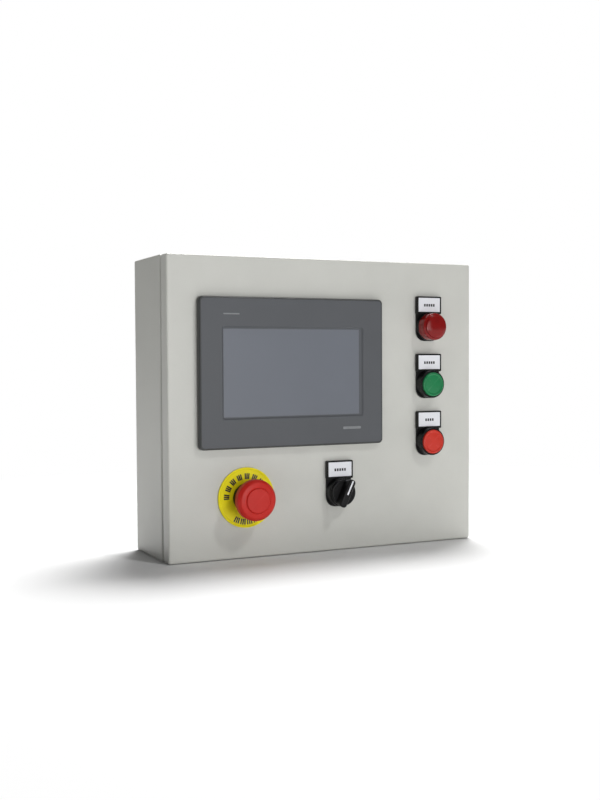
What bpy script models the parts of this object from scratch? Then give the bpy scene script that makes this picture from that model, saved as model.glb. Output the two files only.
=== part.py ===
"""A wall enclosure whose hinged door carries a 7-inch operator panel and five 22 mm control stations.

Metres, +Z up. The origin is the centre of the rear mounting face and the door faces -Y. Everything on the
door is parented to an empty on the hinge axis, and each control and the lock to an empty on its own axis.
"""

import math

import bmesh
import bpy

# Enclosure and door, folded from one gauge of sheet
WIDTH = 0.348
HEIGHT = 0.300
DEPTH = 0.100  # rear face to door front
SHEET = 0.0015
BEND = 0.002  # outer radius of a fold
DOOR_EDGE = 0.016  # depth of the door's folded rim
DOOR_GAP = 0.0035  # between the door's rim and the body
DOOR_INSET = 0.0005  # the door's outline stays this far inside the body's
LIP_SETBACK = 0.017  # side of the body to the outer face of the sealing lip
GASKET_THICK = 0.006
GASKET_WIDE = 0.010
GAP = 0.0003  # between pieces that touch
WALL_HOLE_RADIUS = 0.0045
WALL_HOLE_SETBACK = 0.022  # from the body's sides

# Mounting plate, its studs and the gear on its rail
PLATE_MARGIN = 0.029  # body side to plate edge
PLATE_STANDOFF = 0.012  # rear face to the plate's rear
PLATE_THICK = 0.002
PLATE_CORNER = 0.010
STUD_RADIUS = 0.003
STUD_SHOULDER = 0.005
STUD_INSET = 0.012  # plate edge to stud
NUT_ACROSS = 0.010
NUT_THICK = 0.005
RAIL_INSET = 0.030  # plate edge to the rail's end
RAIL_Z = -0.008
RAIL_HEIGHT = 0.035
RAIL_WEB = 0.025
RAIL_DEPTH = 0.0075
RAIL_SHEET = 0.001
CLAW_GRIP = 0.0015  # how far a claw reaches over the rail's edge
CLAW_THICK = 0.003
CLAW_ROOT = 0.002
RAIL_SPACING = 0.012  # from the rail's end to the supply, and on to the terminals
SUPPLY_WIDE = 0.045
SUPPLY_TALL = 0.090
SUPPLY_DEEP = 0.036
SUPPLY_STEP_TALL = 0.020  # of the terminal steps at both ends
SUPPLY_STEP_DEEP = 0.008
SUPPLY_SLOPE = 0.002
TERMINAL_COUNT = 10
TERMINAL_PITCH = 0.0062
TERMINAL_TALL = 0.050
TERMINAL_DEEP = 0.034
TERMINAL_SHOULDER = 0.014  # middle of the strip to its upper and lower slopes
TERMINAL_GROOVE = 0.0008
GLAND_LENGTH = 0.120
GLAND_DEPTH = 0.040
GLAND_Y = -0.042
GLAND_MARGIN = 0.010
GLAND_THICK = 0.002

# Hinges and lock
PIVOT_IN = 0.0065  # body side to the hinge axis
PIVOT_BACK = 0.0095  # door front to the hinge axis
HINGE_Z = 0.105  # of each hinge, above and below the middle
PIN_RADIUS = 0.002
PIN_CLEARANCE = 0.0003
KNUCKLE_CLEARANCE = 0.0006  # to the door's rim
KNUCKLE_TALL = 0.008
LEAF_PLATE = 0.0015
ARM_THICK = 0.002
LOCK_Y = -0.060
LOCK_BARREL = 0.009
LOCK_FLANGE = 0.012
LOCK_FLANGE_THICK = 0.0025
LOCK_LENGTH = 0.020  # body side to the barrel's inner end
LOCK_CORE = 0.006
CORE_DROP = 0.0006  # flange face to the core's face
CAM_REACH = 0.023
CAM_WIDE = 0.012
CAM_THICK = 0.003
CAM_CORNER = 0.002
CAM_SETBACK = 0.0015  # inner end of the barrel to the cam
KEY_PIN = 0.0028
KEY_SLOT = (0.0012, 0.004)  # half its width and length
KEY_DEPTH = 0.008
KEEPER_TALL = 0.028
KEEPER_FOOT = 0.013
KEEPER_DEEP = 0.0225
KEEPER_SHEET = 0.002
KEEPER_WINDOW = 0.006
KEEPER_TIP = 0.004  # window to the keeper's free edge
KEEPER_CLEARANCE = 0.001  # between the keeper and the cam beside it

# Operator panel
HMI_LEFT = 0.0303  # body side to the bezel
HMI_TOP = 0.0409  # body top to the bezel
HMI_WIDE = 0.2034
HMI_TALL = 0.1494
HMI_PROUD = 0.008
HMI_CORNER = 0.0045
HMI_CHAMFER = 0.0012
HMI_FRONT_WALL = 0.0028
HMI_INNER_CORNER = 0.003  # of the door's cut-out and of the case
HMI_FLANGE = 0.007  # how far the bezel covers the door round its cut-out
SCREEN_SIDE = 0.02465  # bezel edge to the window, left and right
SCREEN_END = 0.0307  # the same, above and below
SCREEN_BEVEL = 0.002
SCREEN_CORNER = 0.001
SCREEN_OVERLAP = 0.004  # of the touch screen behind the bezel
CASE_DEPTH = 0.030
CASE_WALL = 0.0025
CASE_TAPER = 0.004
SEAL_THICK = 0.0006
TOUCH_THICK = 0.0015
DISPLAY_THICK = 0.007
CLAMP_X = 0.060
CLAMP_WIDE = 0.012
CLAMP_TALL = 0.008
CLAMP_CORNER = 0.001
CLAMP_SCREW = 0.0016

# 22 mm control stations, each on a hole of one size
COLUMN_SETBACK = 0.0555  # body side to the column of three
COLUMN_TOP = 0.0687  # body top to the upper one
COLUMN_PITCH = 0.061
SELECTOR_X = 0.0103
ESTOP_SETBACK = 0.081  # body side to the emergency stop
LOWER_ROW = 0.061  # body bottom to the lower row
STATION_HOLE = 0.01125
BARREL_CLEARANCE = 0.00035
BARREL_LENGTH = 0.022  # behind the door's front face
RING_RADIUS = 0.0145
RING_WALL = 0.0015
RING_PROUD = 0.012
RING_CHAMFER = 0.0008
SELECTOR_RING_DROP = 0.002  # the selector's ring is lower by this
COLLAR_THICK = 0.007
STEM_RADIUS = 0.006
STEM_CLEARANCE = 0.001  # between a pressed stem and the block behind it
BLOCK_WIDE = 0.029
BLOCK_TALL = 0.039
BLOCK_DEEP = 0.0205
BLOCK_SHOULDER = 0.005
HOLDER_MARGIN = 0.0005  # ring to the holder's sides
HOLDER_FOOT = 0.0008  # ring to the holder's foot
HOLDER_PLATE = 0.0017
HOLDER_CORNER = 0.010
FRAME_CORNER = 0.0006
LABEL_CORNER = 0.0004
HOLDER_FRAME_THICK = 0.0050
LABEL_TALL = 0.0148
LABEL_SIDE = 0.00165  # label to the holder's sides
LABEL_DROP = 0.0015  # holder top to label top, and ring to label
FRAME_FOOT = 0.0023  # label to the lower edge of its frame
LABEL_THICK = 0.0007
CAP_PROUD = 0.0018
CAP_EDGE = 0.0012  # depth of the cap's rounded edge
CAP_EDGE_WIDE = 0.0008
CAP_CROWN = 0.0005  # how far the middle stands over the edge
CAP_TRAVEL = 0.004
LENS_INSET = 0.0003  # ring to lens
LENS_SEAT = 0.006
LENS_WALL = 0.0105
LENS_DOME = 0.003
LENS_THICK = 0.0016
LENS_EDGE = 0.001
PILOT_BORE = 0.0075
LED_RADIUS = 0.0045
KNOB_INSET = 0.0011  # ring to knob
KNOB_DISC = 0.0035
KNOB_EDGE = 0.0008
HANDLE_LONG = 0.030
HANDLE_WIDE = 0.0085
HANDLE_TALL = 0.0125
HANDLE_CORNER = 0.003
HANDLE_EDGE = 0.0012
SELECTOR_REST_DEG = 25.0
LEGEND_DISC_RADIUS = 0.030
LEGEND_DISC_THICK = 0.0015
DISC_RIM = 0.0005  # how far the disc's rim stands over its face
DISC_RIM_WIDE = 0.003
MUSHROOM_RADIUS = 0.0203
ESTOP_TRAVEL = 0.005
ESTOP_CLEARANCE = 0.0005  # between the pressed head and its ring
MUSHROOM_TALL = 0.0150
MUSHROOM_FOOT = 0.0165  # radius at the back of the head
MUSHROOM_SKIRT = 0.0032  # back of the head to its full radius
MUSHROOM_ROUND = 0.0050  # full radius to the top
MUSHROOM_CROWN = 0.0013  # top to the rounded edge
PLUNGER_RADIUS = 0.007
PLUNGER_TIP = 0.005
PLUNGER_TIP_LENGTH = 0.007

ROUND = 24  # sides of a round piece that shows
SMALL_ROUND = 16
CORNER_STEPS = 3

# Worked out from the sizes above
BODY_FRONT = DEPTH - DOOR_EDGE - DOOR_GAP
DOOR_BACK = SHEET + GAP  # behind the door's front face, for what is clamped against it
LIP_FRONT = DEPTH - SHEET - GASKET_THICK
SEAL_MIDDLE = LIP_SETBACK + SHEET / 2
DOOR_FRONT_Y = -DEPTH
PIVOT_X = -WIDTH / 2 + PIVOT_IN
PIVOT_Y = -DEPTH + PIVOT_BACK
PLATE_FRONT = PLATE_STANDOFF + PLATE_THICK
RAIL_FRONT = PLATE_FRONT + GAP + RAIL_DEPTH
KNUCKLE_RADIUS = PIVOT_IN - DOOR_INSET - SHEET - KNUCKLE_CLEARANCE
RAIL_LENGTH = WIDTH - 2 * (PLATE_MARGIN + RAIL_INSET)
HMI_X = -WIDTH / 2 + HMI_LEFT + HMI_WIDE / 2
HMI_Z = HEIGHT / 2 - HMI_TOP - HMI_TALL / 2
CUTOUT_WIDE = HMI_WIDE - 2 * HMI_FLANGE
CUTOUT_TALL = HMI_TALL - 2 * HMI_FLANGE
SCREEN_WIDE = HMI_WIDE - 2 * SCREEN_SIDE
SCREEN_TALL = HMI_TALL - 2 * SCREEN_END
BARREL_RADIUS = STATION_HOLE - BARREL_CLEARANCE
STEM_LENGTH = BARREL_LENGTH - CAP_TRAVEL - STEM_CLEARANCE
ESTOP_STEM_LENGTH = BARREL_LENGTH - ESTOP_TRAVEL - STEM_CLEARANCE
CAP_RADIUS = RING_RADIUS - RING_WALL - GAP
LENS_RADIUS = RING_RADIUS - LENS_INSET
KNOB_RADIUS = RING_RADIUS - KNOB_INSET
HOLDER_FACE = GAP + HOLDER_PLATE
HOLDER_WIDE = 2 * (RING_RADIUS + HOLDER_MARGIN)
HOLDER_TOP = RING_RADIUS + 2 * LABEL_DROP + LABEL_TALL
HOLDER_TALL = HOLDER_TOP + RING_RADIUS + HOLDER_FOOT
HOLDER_FRAME_TALL = LABEL_DROP + LABEL_TALL + FRAME_FOOT
LABEL_WIDE = HOLDER_WIDE - 2 * LABEL_SIDE
MUSHROOM_BASE = RING_PROUD + ESTOP_TRAVEL + ESTOP_CLEARANCE
CAM_FACE = WIDTH / 2 - LOCK_LENGTH - CAM_SETBACK  # the side of the cam that faces the barrel


# Shape helpers: each returns a bmesh or adds an object
def add(name, mesh_in, material=None, parent=None, at=(0, 0, 0)):
    """An object made from a bmesh, shaded smooth up to 35 degrees."""
    bmesh.ops.recalc_face_normals(mesh_in, faces=mesh_in.faces)
    mesh = bpy.data.meshes.new(name)
    mesh_in.to_mesh(mesh)
    mesh_in.free()
    mesh.shade_smooth()
    mesh.set_sharp_from_angle(angle=math.radians(35))
    if material:
        mesh.materials.append(material)
    obj = bpy.data.objects.new(name, mesh)
    bpy.context.scene.collection.objects.link(obj)
    obj.parent = parent
    obj.location = at
    return obj


def empty(name, parent=None, at=(0, 0, 0), turn=(0, 0, 0)):
    obj = bpy.data.objects.new(name, None)
    bpy.context.scene.collection.objects.link(obj)
    obj.empty_display_size = 0.01
    obj.parent = parent
    obj.location = at
    obj.rotation_euler = turn
    return obj


def material(name, colour, roughness, metallic=0.0):
    made = bpy.data.materials.new(name)
    made.use_nodes = True
    shader = made.node_tree.nodes["Principled BSDF"]
    shader.inputs["Base Color"].default_value = (*colour, 1.0)
    shader.inputs["Roughness"].default_value = roughness
    shader.inputs["Metallic"].default_value = metallic
    made.diffuse_color = (*colour, 1.0)
    return made


def combine(obj, helper, operation):
    """Cuts helper from obj, or joins it on, and keeps helper as a hidden guide beside it."""
    helper.hide_render = True
    helper.display_type = "WIRE"
    change = obj.modifiers.new(helper.name, "BOOLEAN")
    change.operation = operation
    change.solver = "EXACT"
    change.object = helper
    return obj


def cut(obj, label, mesh_in):
    cutter = add(f"{obj.name}.{label}", mesh_in, parent=obj.parent, at=obj.location)
    return combine(obj, cutter, "DIFFERENCE")


def join(obj, label, mesh_in):
    piece = add(f"{obj.name}.{label}", mesh_in, parent=obj.parent, at=obj.location)
    return combine(obj, piece, "UNION")


def box(low, high, into=None):
    """A box between two corners, added to a bmesh that may hold others."""
    mesh_in = into or bmesh.new()
    for corner in bmesh.ops.create_cube(mesh_in, size=1.0)["verts"]:
        corner.co = [a if c < 0 else b for a, b, c in zip(low, high, corner.co)]
    return mesh_in


def stack(levels):
    """A closed solid through outlines that all have the same number of points."""
    mesh_in = bmesh.new()
    rings = [[mesh_in.verts.new(point) for point in level] for level in levels]
    for lower, upper in zip(rings, rings[1:]):
        for i in range(len(lower)):
            j = (i + 1) % len(lower)
            mesh_in.faces.new((lower[i], lower[j], upper[j], upper[i]))
    mesh_in.faces.new(list(reversed(rings[0])))
    mesh_in.faces.new(rings[-1])
    return mesh_in


def rounded(wide, tall, radius, height, inset=0.0, centre=(0.0, 0.0)):
    """A rounded rectangle at one height in the local XY plane. radius is one value, or one for each corner
    from the lower left, counter-clockwise."""
    radii = radius if isinstance(radius, tuple) else (radius,) * 4
    half_x = wide / 2 - inset
    half_y = tall / 2 - inset
    points = []
    for quarter, (sign_x, sign_y) in enumerate(((-1, -1), (1, -1), (1, 1), (-1, 1))):
        corner = max(radii[quarter] - inset, 0.0002)
        for step in range(CORNER_STEPS + 1):
            angle = math.pi + (quarter + step / CORNER_STEPS) * math.pi / 2
            x = centre[0] + sign_x * (half_x - corner) + corner * math.cos(angle)
            y = centre[1] + sign_y * (half_y - corner) + corner * math.sin(angle)
            points.append((x, y, height))
    return points


def slab(wide, tall, radius, low, high, centre=(0.0, 0.0)):
    return stack([rounded(wide, tall, radius, height, 0.0, centre) for height in (low, high)])


def turned(profile, sides=ROUND, centre=(0.0, 0.0)):
    """A closed outline of (radius, height) points spun about local Z, where radius 0 is the axis."""
    mesh_in = bmesh.new()
    rings = []
    for radius, height in profile:
        if radius == 0:
            rings.append([mesh_in.verts.new((centre[0], centre[1], height))] * sides)
            continue
        angles = [2 * math.pi * (side + 0.5) / sides for side in range(sides)]
        rings.append(
            [
                mesh_in.verts.new(
                    (centre[0] + radius * math.cos(a), centre[1] + radius * math.sin(a), height)
                )
                for a in angles
            ]
        )
    for ring, following in zip(rings, rings[1:] + rings[:1]):
        for i in range(sides):
            j = (i + 1) % sides
            corners = [ring[i], ring[j], following[j], following[i]]
            unique = list(dict.fromkeys(corners))
            if len(unique) > 2:
                mesh_in.faces.new(unique)
    return mesh_in


def rod(radius, low, high, sides=SMALL_ROUND, centre=(0.0, 0.0)):
    return turned([(0, low), (radius, low), (radius, high), (0, high)], sides, centre)


def tube(inner, outer, low, high, sides=ROUND):
    return turned([(inner, low), (outer, low), (outer, high), (inner, high)], sides)


def turn_mesh(mesh_in, order, shift=(0, 0, 0)):
    """Sends local X, Y, Z to the signed axes in order, such as ("X", "-Z", "Y"), then moves the mesh."""
    for vertex in mesh_in.verts:
        old = dict(zip("XYZ", vertex.co))
        vertex.co = [
            (-old[axis[1]] if axis[0] == "-" else old[axis]) + move for axis, move in zip(order, shift)
        ]
    return mesh_in


def along_y(mesh_in, shift=(0, 0, 0)):
    """Turns a mesh made along local Z so that its Z points to -Y and its Y to +Z."""
    return turn_mesh(mesh_in, ("X", "-Z", "Y"), shift)


def side_profile(points, low_x, high_x):
    """A (y, z) outline extruded along X."""
    return stack([[(x, y, z) for y, z in points] for x in (low_x, high_x)])


# The body of the enclosure
def enclosure_body(paint):
    half_x = WIDTH / 2
    half_z = HEIGHT / 2
    shell = box((-half_x, -BODY_FRONT, -half_z), (half_x, 0, half_z))
    bmesh.ops.bevel(shell, geom=shell.edges[:], offset=BEND, segments=2, profile=0.5, affect="EDGES")
    body = add("enclosure_body", shell, paint)
    lip_x = half_x - LIP_SETBACK
    lip_z = half_z - LIP_SETBACK
    join(body, "lip", box((-lip_x, -LIP_FRONT, -lip_z), (lip_x, -BODY_FRONT / 2, lip_z)))
    cut(
        body,
        "inside",
        box(
            (-half_x + SHEET, -BODY_FRONT + SHEET, -half_z + SHEET),
            (half_x - SHEET, -SHEET, half_z - SHEET),
        ),
    )
    mouth_x = lip_x - SHEET
    mouth_z = lip_z - SHEET
    cut(body, "mouth", box((-mouth_x, -DEPTH, -mouth_z), (mouth_x, -BODY_FRONT / 2, mouth_z)))
    holes = bmesh.new()
    for x in (-1, 1):
        for z in (-1, 1):
            centre = (x * (half_x - WALL_HOLE_SETBACK), z * (half_z - WALL_HOLE_SETBACK))
            hole = along_y(rod(WALL_HOLE_RADIUS, -PLATE_STANDOFF, PLATE_STANDOFF / 2, 16, centre))
            merge_into(holes, hole)
    cut(body, "wall_holes", holes)
    gland = (
        (-GLAND_LENGTH / 2, GLAND_Y - GLAND_DEPTH / 2, -half_z - 3 * SHEET),
        (GLAND_LENGTH / 2, GLAND_Y + GLAND_DEPTH / 2, -half_z + 3 * SHEET),
    )
    cut(body, "gland_opening", box(*gland))
    lock_hole = rod(LOCK_BARREL + GAP, -3 * SHEET, 3 * SHEET)
    cut(body, "lock_hole", turn_mesh(lock_hole, ("Z", "X", "Y"), (half_x, LOCK_Y, 0)))
    studs = bmesh.new()
    stud_end = PLATE_FRONT + GAP + NUT_THICK + 2 * GAP + STUD_RADIUS
    for x, z in stud_places():
        outline = [
            (0, SHEET / 2),
            (STUD_SHOULDER, SHEET / 2),
            (STUD_SHOULDER, PLATE_STANDOFF - GAP),
            (STUD_RADIUS, PLATE_STANDOFF - GAP),
            (STUD_RADIUS, stud_end),
            (0, stud_end),
        ]
        merge_into(studs, along_y(turned(outline, 12, (x, z))))
    join(body, "studs", studs)
    return body


def merge_into(target, source):
    """Adds one bmesh to another as a separate island."""
    mesh = bpy.data.meshes.new("merge")
    source.to_mesh(mesh)
    source.free()
    target.from_mesh(mesh)
    bpy.data.meshes.remove(mesh)


def stud_places():
    reach_x = WIDTH / 2 - PLATE_MARGIN - STUD_INSET
    reach_z = HEIGHT / 2 - PLATE_MARGIN - STUD_INSET
    return [(x * reach_x, z * reach_z) for z in (1, -1) for x in (-1, 1)]


def mounting_plate(zinc):
    wide = WIDTH - 2 * PLATE_MARGIN
    tall = HEIGHT - 2 * PLATE_MARGIN
    outline = slab(wide, tall, PLATE_CORNER, PLATE_STANDOFF, PLATE_FRONT)
    plate = add("mounting_plate", along_y(outline), zinc)
    holes = bmesh.new()
    for place in stud_places():
        hole = rod(STUD_RADIUS + GAP, PLATE_STANDOFF - PLATE_THICK, PLATE_FRONT + PLATE_THICK, 12, place)
        merge_into(holes, along_y(hole))
    cut(plate, "stud_holes", holes)
    low = PLATE_FRONT + GAP
    for number, (x, z) in enumerate(stud_places(), 1):
        corner = NUT_ACROSS / 2 / math.cos(math.pi / 6)
        blank = turned([(0, 0), (corner, 0), (corner, NUT_THICK), (0, NUT_THICK)], 6)
        nut = add(f"plate_nut_{number}", along_y(blank), zinc, at=(x, -low, z))
        cut(nut, "bore", along_y(rod(STUD_RADIUS + GAP, -NUT_THICK, 2 * NUT_THICK, 12)))


def gland_plate(paint, rubber):
    wide = GLAND_LENGTH + 2 * GLAND_MARGIN
    deep = GLAND_DEPTH + 2 * GLAND_MARGIN
    floor = -HEIGHT / 2 + SHEET + GAP
    seal = slab(wide, deep, GLAND_MARGIN / 3, floor, floor + GLAND_THICK)
    gasket = add("gland_gasket", seal, rubber, at=(0, GLAND_Y, 0))
    hole = slab(GLAND_LENGTH, GLAND_DEPTH, GLAND_MARGIN / 6, floor - GLAND_THICK, floor + 2 * GLAND_THICK)
    cut(gasket, "opening", hole)
    low = floor + GLAND_THICK + GAP
    add("gland_plate", slab(wide, deep, GLAND_MARGIN / 3, low, low + GLAND_THICK), paint, at=(0, GLAND_Y, 0))


# What stands on the mounting plate's rail
def din_rail(zinc):
    back = -PLATE_FRONT - GAP
    web = RAIL_WEB / 2
    top = RAIL_HEIGHT / 2
    front = back - RAIL_DEPTH
    half = [
        (back, web),
        (front + RAIL_SHEET, web),
        (front + RAIL_SHEET, top),
        (front, top),
        (front, web - RAIL_SHEET),
        (back - RAIL_SHEET, web - RAIL_SHEET),
    ]
    outline = half + [(y, -z) for y, z in reversed(half)]
    add("din_rail", side_profile(outline, -RAIL_LENGTH / 2, RAIL_LENGTH / 2), zinc, at=(0, 0, RAIL_Z))


def rail_hooks(device, wide):
    """Two claws that reach behind the rail's flanges."""
    back = -RAIL_FRONT
    for side, label in ((1, "upper_claw"), (-1, "lower_claw")):
        edge = side * (RAIL_HEIGHT / 2 + GAP)
        tip = side * (RAIL_HEIGHT / 2 - CLAW_GRIP)
        outer = side * (RAIL_HEIGHT / 2 + CLAW_THICK)
        claw = [
            (back - CLAW_ROOT, edge),
            (back + RAIL_SHEET + GAP, edge),
            (back + RAIL_SHEET + GAP, tip),
            (back + RAIL_SHEET + CLAW_GRIP, tip),
            (back + RAIL_SHEET + CLAW_GRIP, outer),
            (back - CLAW_ROOT, outer),
        ]
        join(device, label, side_profile(claw, -wide * 0.4, wide * 0.4))


def power_supply(shell):
    back = -RAIL_FRONT - GAP
    half = SUPPLY_TALL / 2
    step = half - SUPPLY_STEP_TALL
    step_front = back - SUPPLY_DEEP + SUPPLY_STEP_DEEP
    outline = [
        (back, -half),
        (back, half),
        (step_front, half),
        (step_front, step),
        (back - SUPPLY_DEEP, step - SUPPLY_SLOPE),
        (back - SUPPLY_DEEP, -step + SUPPLY_SLOPE),
        (step_front, -step),
        (step_front, -half),
    ]
    body = side_profile(outline, -SUPPLY_WIDE / 2, SUPPLY_WIDE / 2)
    supply_x = -RAIL_LENGTH / 2 + RAIL_SPACING + SUPPLY_WIDE / 2
    supply = add("power_supply", body, shell, at=(supply_x, 0, RAIL_Z))
    rail_hooks(supply, SUPPLY_WIDE)


def terminal_strip(shell):
    back = -RAIL_FRONT - GAP
    half = TERMINAL_TALL / 2
    wide = TERMINAL_COUNT * TERMINAL_PITCH
    outline = [
        (back, -half),
        (back, half),
        (back - TERMINAL_DEEP * 0.5, half),
        (back - TERMINAL_DEEP * 0.7, TERMINAL_SHOULDER),
        (back - TERMINAL_DEEP, TERMINAL_SHOULDER),
        (back - TERMINAL_DEEP, -TERMINAL_SHOULDER),
        (back - TERMINAL_DEEP * 0.7, -TERMINAL_SHOULDER),
        (back - TERMINAL_DEEP * 0.5, -half),
    ]
    strip_x = -RAIL_LENGTH / 2 + SUPPLY_WIDE + 2 * RAIL_SPACING + wide / 2
    strip = add("terminal_strip", side_profile(outline, -wide / 2, wide / 2), shell, at=(strip_x, 0, RAIL_Z))
    grooves = bmesh.new()
    for number in range(1, TERMINAL_COUNT):
        x = -wide / 2 + number * TERMINAL_PITCH
        low = (x - TERMINAL_GROOVE / 2, back - 1.5 * TERMINAL_DEEP, -TERMINAL_TALL)
        high = (x + TERMINAL_GROOVE / 2, back - TERMINAL_DEEP * 0.75, TERMINAL_TALL)
        box(low, high, grooves)
    cut(strip, "grooves", grooves)
    rail_hooks(strip, wide)


# Hinges: the pintle is welded up with its pin and stays with the body, the leaf turns with the door
def hinge(name, z, door, steel):
    lip_face = -WIDTH / 2 + LIP_SETBACK
    plate_low = (lip_face - GAP - LEAF_PLATE - PIVOT_X, -LIP_FRONT + 2 * GAP - PIVOT_Y, -KNUCKLE_TALL * 1.5)
    plate_high = (lip_face - GAP - PIVOT_X, -BODY_FRONT - GAP - PIVOT_Y, KNUCKLE_TALL * 1.5)
    at = (PIVOT_X, PIVOT_Y, z)
    pintle_pin = rod(KNUCKLE_RADIUS, -KNUCKLE_TALL / 2, KNUCKLE_TALL / 2)
    pintle = add(f"hinge_pintle_{name}", pintle_pin, steel, at=at)
    join(pintle, "plate", box(plate_low, plate_high))
    arm_low = (0, -ARM_THICK / 2, -KNUCKLE_TALL / 2 + GAP)
    arm_high = (plate_low[0] + LEAF_PLATE / 2, ARM_THICK / 2, KNUCKLE_TALL / 2 - GAP)
    join(pintle, "arm", box(arm_low, arm_high))
    join(pintle, "pin", rod(PIN_RADIUS, -KNUCKLE_TALL * 1.5, KNUCKLE_TALL * 1.5, 16))

    seat = -PIVOT_BACK + SHEET + GAP
    foot_low = (-PIVOT_IN + DOOR_INSET + SHEET + GAP, seat, -KNUCKLE_TALL * 1.5)
    gasket_edge = -WIDTH / 2 + SEAL_MIDDLE - GASKET_WIDE / 2 - PIVOT_X
    foot_high = (gasket_edge - 2 * GAP, seat + LEAF_PLATE, KNUCKLE_TALL * 1.5)
    leaf = add(f"hinge_leaf_{name}", box(foot_low, foot_high), steel, door, (0, 0, z))
    for side, label in ((1, "upper"), (-1, "lower")):
        near = side * (KNUCKLE_TALL / 2 + GAP)
        far = side * KNUCKLE_TALL * 1.45
        low, high = sorted((near, far))
        join(leaf, f"{label}_knuckle", rod(KNUCKLE_RADIUS, low, high))
        web_x = KNUCKLE_RADIUS * 0.7
        web = box((-web_x, seat + LEAF_PLATE / 2, low + GAP), (web_x, 0, high - GAP))
        join(leaf, f"{label}_web", web)
    cut(leaf, "bore", rod(PIN_RADIUS + PIN_CLEARANCE, -KNUCKLE_TALL * 2, KNUCKLE_TALL * 2, 16))


# Quarter-turn cam lock in the right side wall, and the keeper on the door beside its cam
def lock(steel, zinc, door):
    axis = empty("lock_axis", at=(WIDTH / 2, LOCK_Y, 0), turn=(0, math.pi / 2, 0))
    bore = LOCK_CORE + GAP
    housing = [
        (bore, -LOCK_LENGTH),
        (LOCK_BARREL, -LOCK_LENGTH),
        (LOCK_BARREL, GAP),
        (LOCK_FLANGE, GAP),
        (LOCK_FLANGE, LOCK_FLANGE_THICK * 0.6),
        (LOCK_FLANGE - LOCK_FLANGE_THICK / 2, GAP + LOCK_FLANGE_THICK),
        (bore, GAP + LOCK_FLANGE_THICK),
    ]
    add("lock_housing", turned(housing, 24), steel, axis)
    nut_high = -SHEET - GAP
    nut_low = nut_high - NUT_THICK
    corner = LOCK_FLANGE * 1.1
    blank = turned([(0, nut_low), (corner, nut_low), (corner, nut_high), (0, nut_high)], 6)
    nut = add("lock_nut", blank, zinc, axis)
    cut(nut, "bore", rod(LOCK_BARREL + GAP, nut_low - NUT_THICK, nut_high + NUT_THICK, 24))

    core_top = GAP + LOCK_FLANGE_THICK - CORE_DROP
    cam_high = CAM_FACE - WIDTH / 2
    core = rod(LOCK_CORE, cam_high - CAM_THICK + GAP, core_top)
    cam = add("lock_cam", core, steel, axis)
    reach = CAM_REACH + CAM_WIDE / 2
    blade = slab(CAM_WIDE, reach, CAM_CORNER, cam_high - CAM_THICK, cam_high, (0, -reach / 2 + CAM_WIDE / 2))
    join(cam, "blade", blade)
    slot_x, slot_y = KEY_SLOT
    key_slot = box((-slot_x, -slot_y, core_top - KEY_DEPTH), (slot_x, slot_y, core_top + KEY_PIN))
    cut(cam, "key_slot", key_slot)
    cut(cam, "key_socket", rod(KEY_PIN, core_top - KEY_DEPTH * 0.75, core_top + KEY_PIN, 16))

    outer = cam_high + WIDTH / 2 - CAM_THICK - KEEPER_CLEARANCE - PIVOT_X
    seat = -PIVOT_BACK + SHEET + GAP
    foot = box((outer - KEEPER_FOOT, seat, -KEEPER_TALL / 2), (outer, seat + KEEPER_SHEET, KEEPER_TALL / 2))
    keeper = add("lock_keeper", foot, steel, door)
    upright_low = (outer - KEEPER_SHEET, seat + KEEPER_SHEET / 2, -KEEPER_TALL / 2 + GAP)
    upright_high = (outer - GAP, seat + KEEPER_DEEP, KEEPER_TALL / 2 - GAP)
    join(keeper, "upright", box(upright_low, upright_high))
    window_y = seat + KEEPER_DEEP - KEEPER_TIP - KEEPER_WINDOW
    window_z = CAM_WIDE / 2 + KEEPER_CLEARANCE
    window_low = (outer - 2 * KEEPER_SHEET, window_y, -window_z)
    window = box(window_low, (outer + KEEPER_SHEET, window_y + KEEPER_WINDOW, window_z))
    cut(keeper, "window", window)


# The door and what is fixed to its rim
def door_panel(paint, door):
    shift = (-PIVOT_X, -PIVOT_Y, 0)
    half_x = WIDTH / 2 - DOOR_INSET
    half_z = HEIGHT / 2 - DOOR_INSET
    back = -DEPTH + DOOR_EDGE
    blank = box((-half_x, -DEPTH, -half_z), (half_x, back, half_z))
    folds = [edge for edge in blank.edges if not all(abs(v.co.y - back) < GAP for v in edge.verts)]
    bmesh.ops.bevel(blank, geom=folds, offset=BEND, segments=2, profile=0.5, affect="EDGES")
    panel = add("door_panel", blank, paint, door, shift)
    inner_x = half_x - SHEET
    inner_z = half_z - SHEET
    cut(panel, "inside", box((-inner_x, -DEPTH + SHEET, -inner_z), (inner_x, 0, inner_z)))
    low = DEPTH - DOOR_EDGE
    opening = slab(CUTOUT_WIDE, CUTOUT_TALL, HMI_INNER_CORNER, low, DEPTH + DOOR_EDGE, (HMI_X, HMI_Z))
    cut(panel, "hmi_cutout", along_y(opening))
    holes = bmesh.new()
    for centre in STATIONS.values():
        merge_into(holes, along_y(rod(STATION_HOLE, DEPTH - DOOR_EDGE / 2, DEPTH + DOOR_EDGE, 24, centre)))
    cut(panel, "station_holes", holes)


def door_gasket(rubber, door):
    wide = WIDTH - 2 * SEAL_MIDDLE
    tall = HEIGHT - 2 * SEAL_MIDDLE
    low = LIP_FRONT + GAP
    high = DEPTH - SHEET - GAP
    shift = (-PIVOT_X, -PIVOT_Y, 0)
    half = GASKET_WIDE / 2
    strip = slab(wide + GASKET_WIDE, tall + GASKET_WIDE, half, low, high)
    gasket = add("door_gasket", along_y(strip), rubber, door, shift)
    middle = slab(wide - GASKET_WIDE, tall - GASKET_WIDE, half / 2, low - half, high + half)
    cut(gasket, "middle", along_y(middle))


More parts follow.
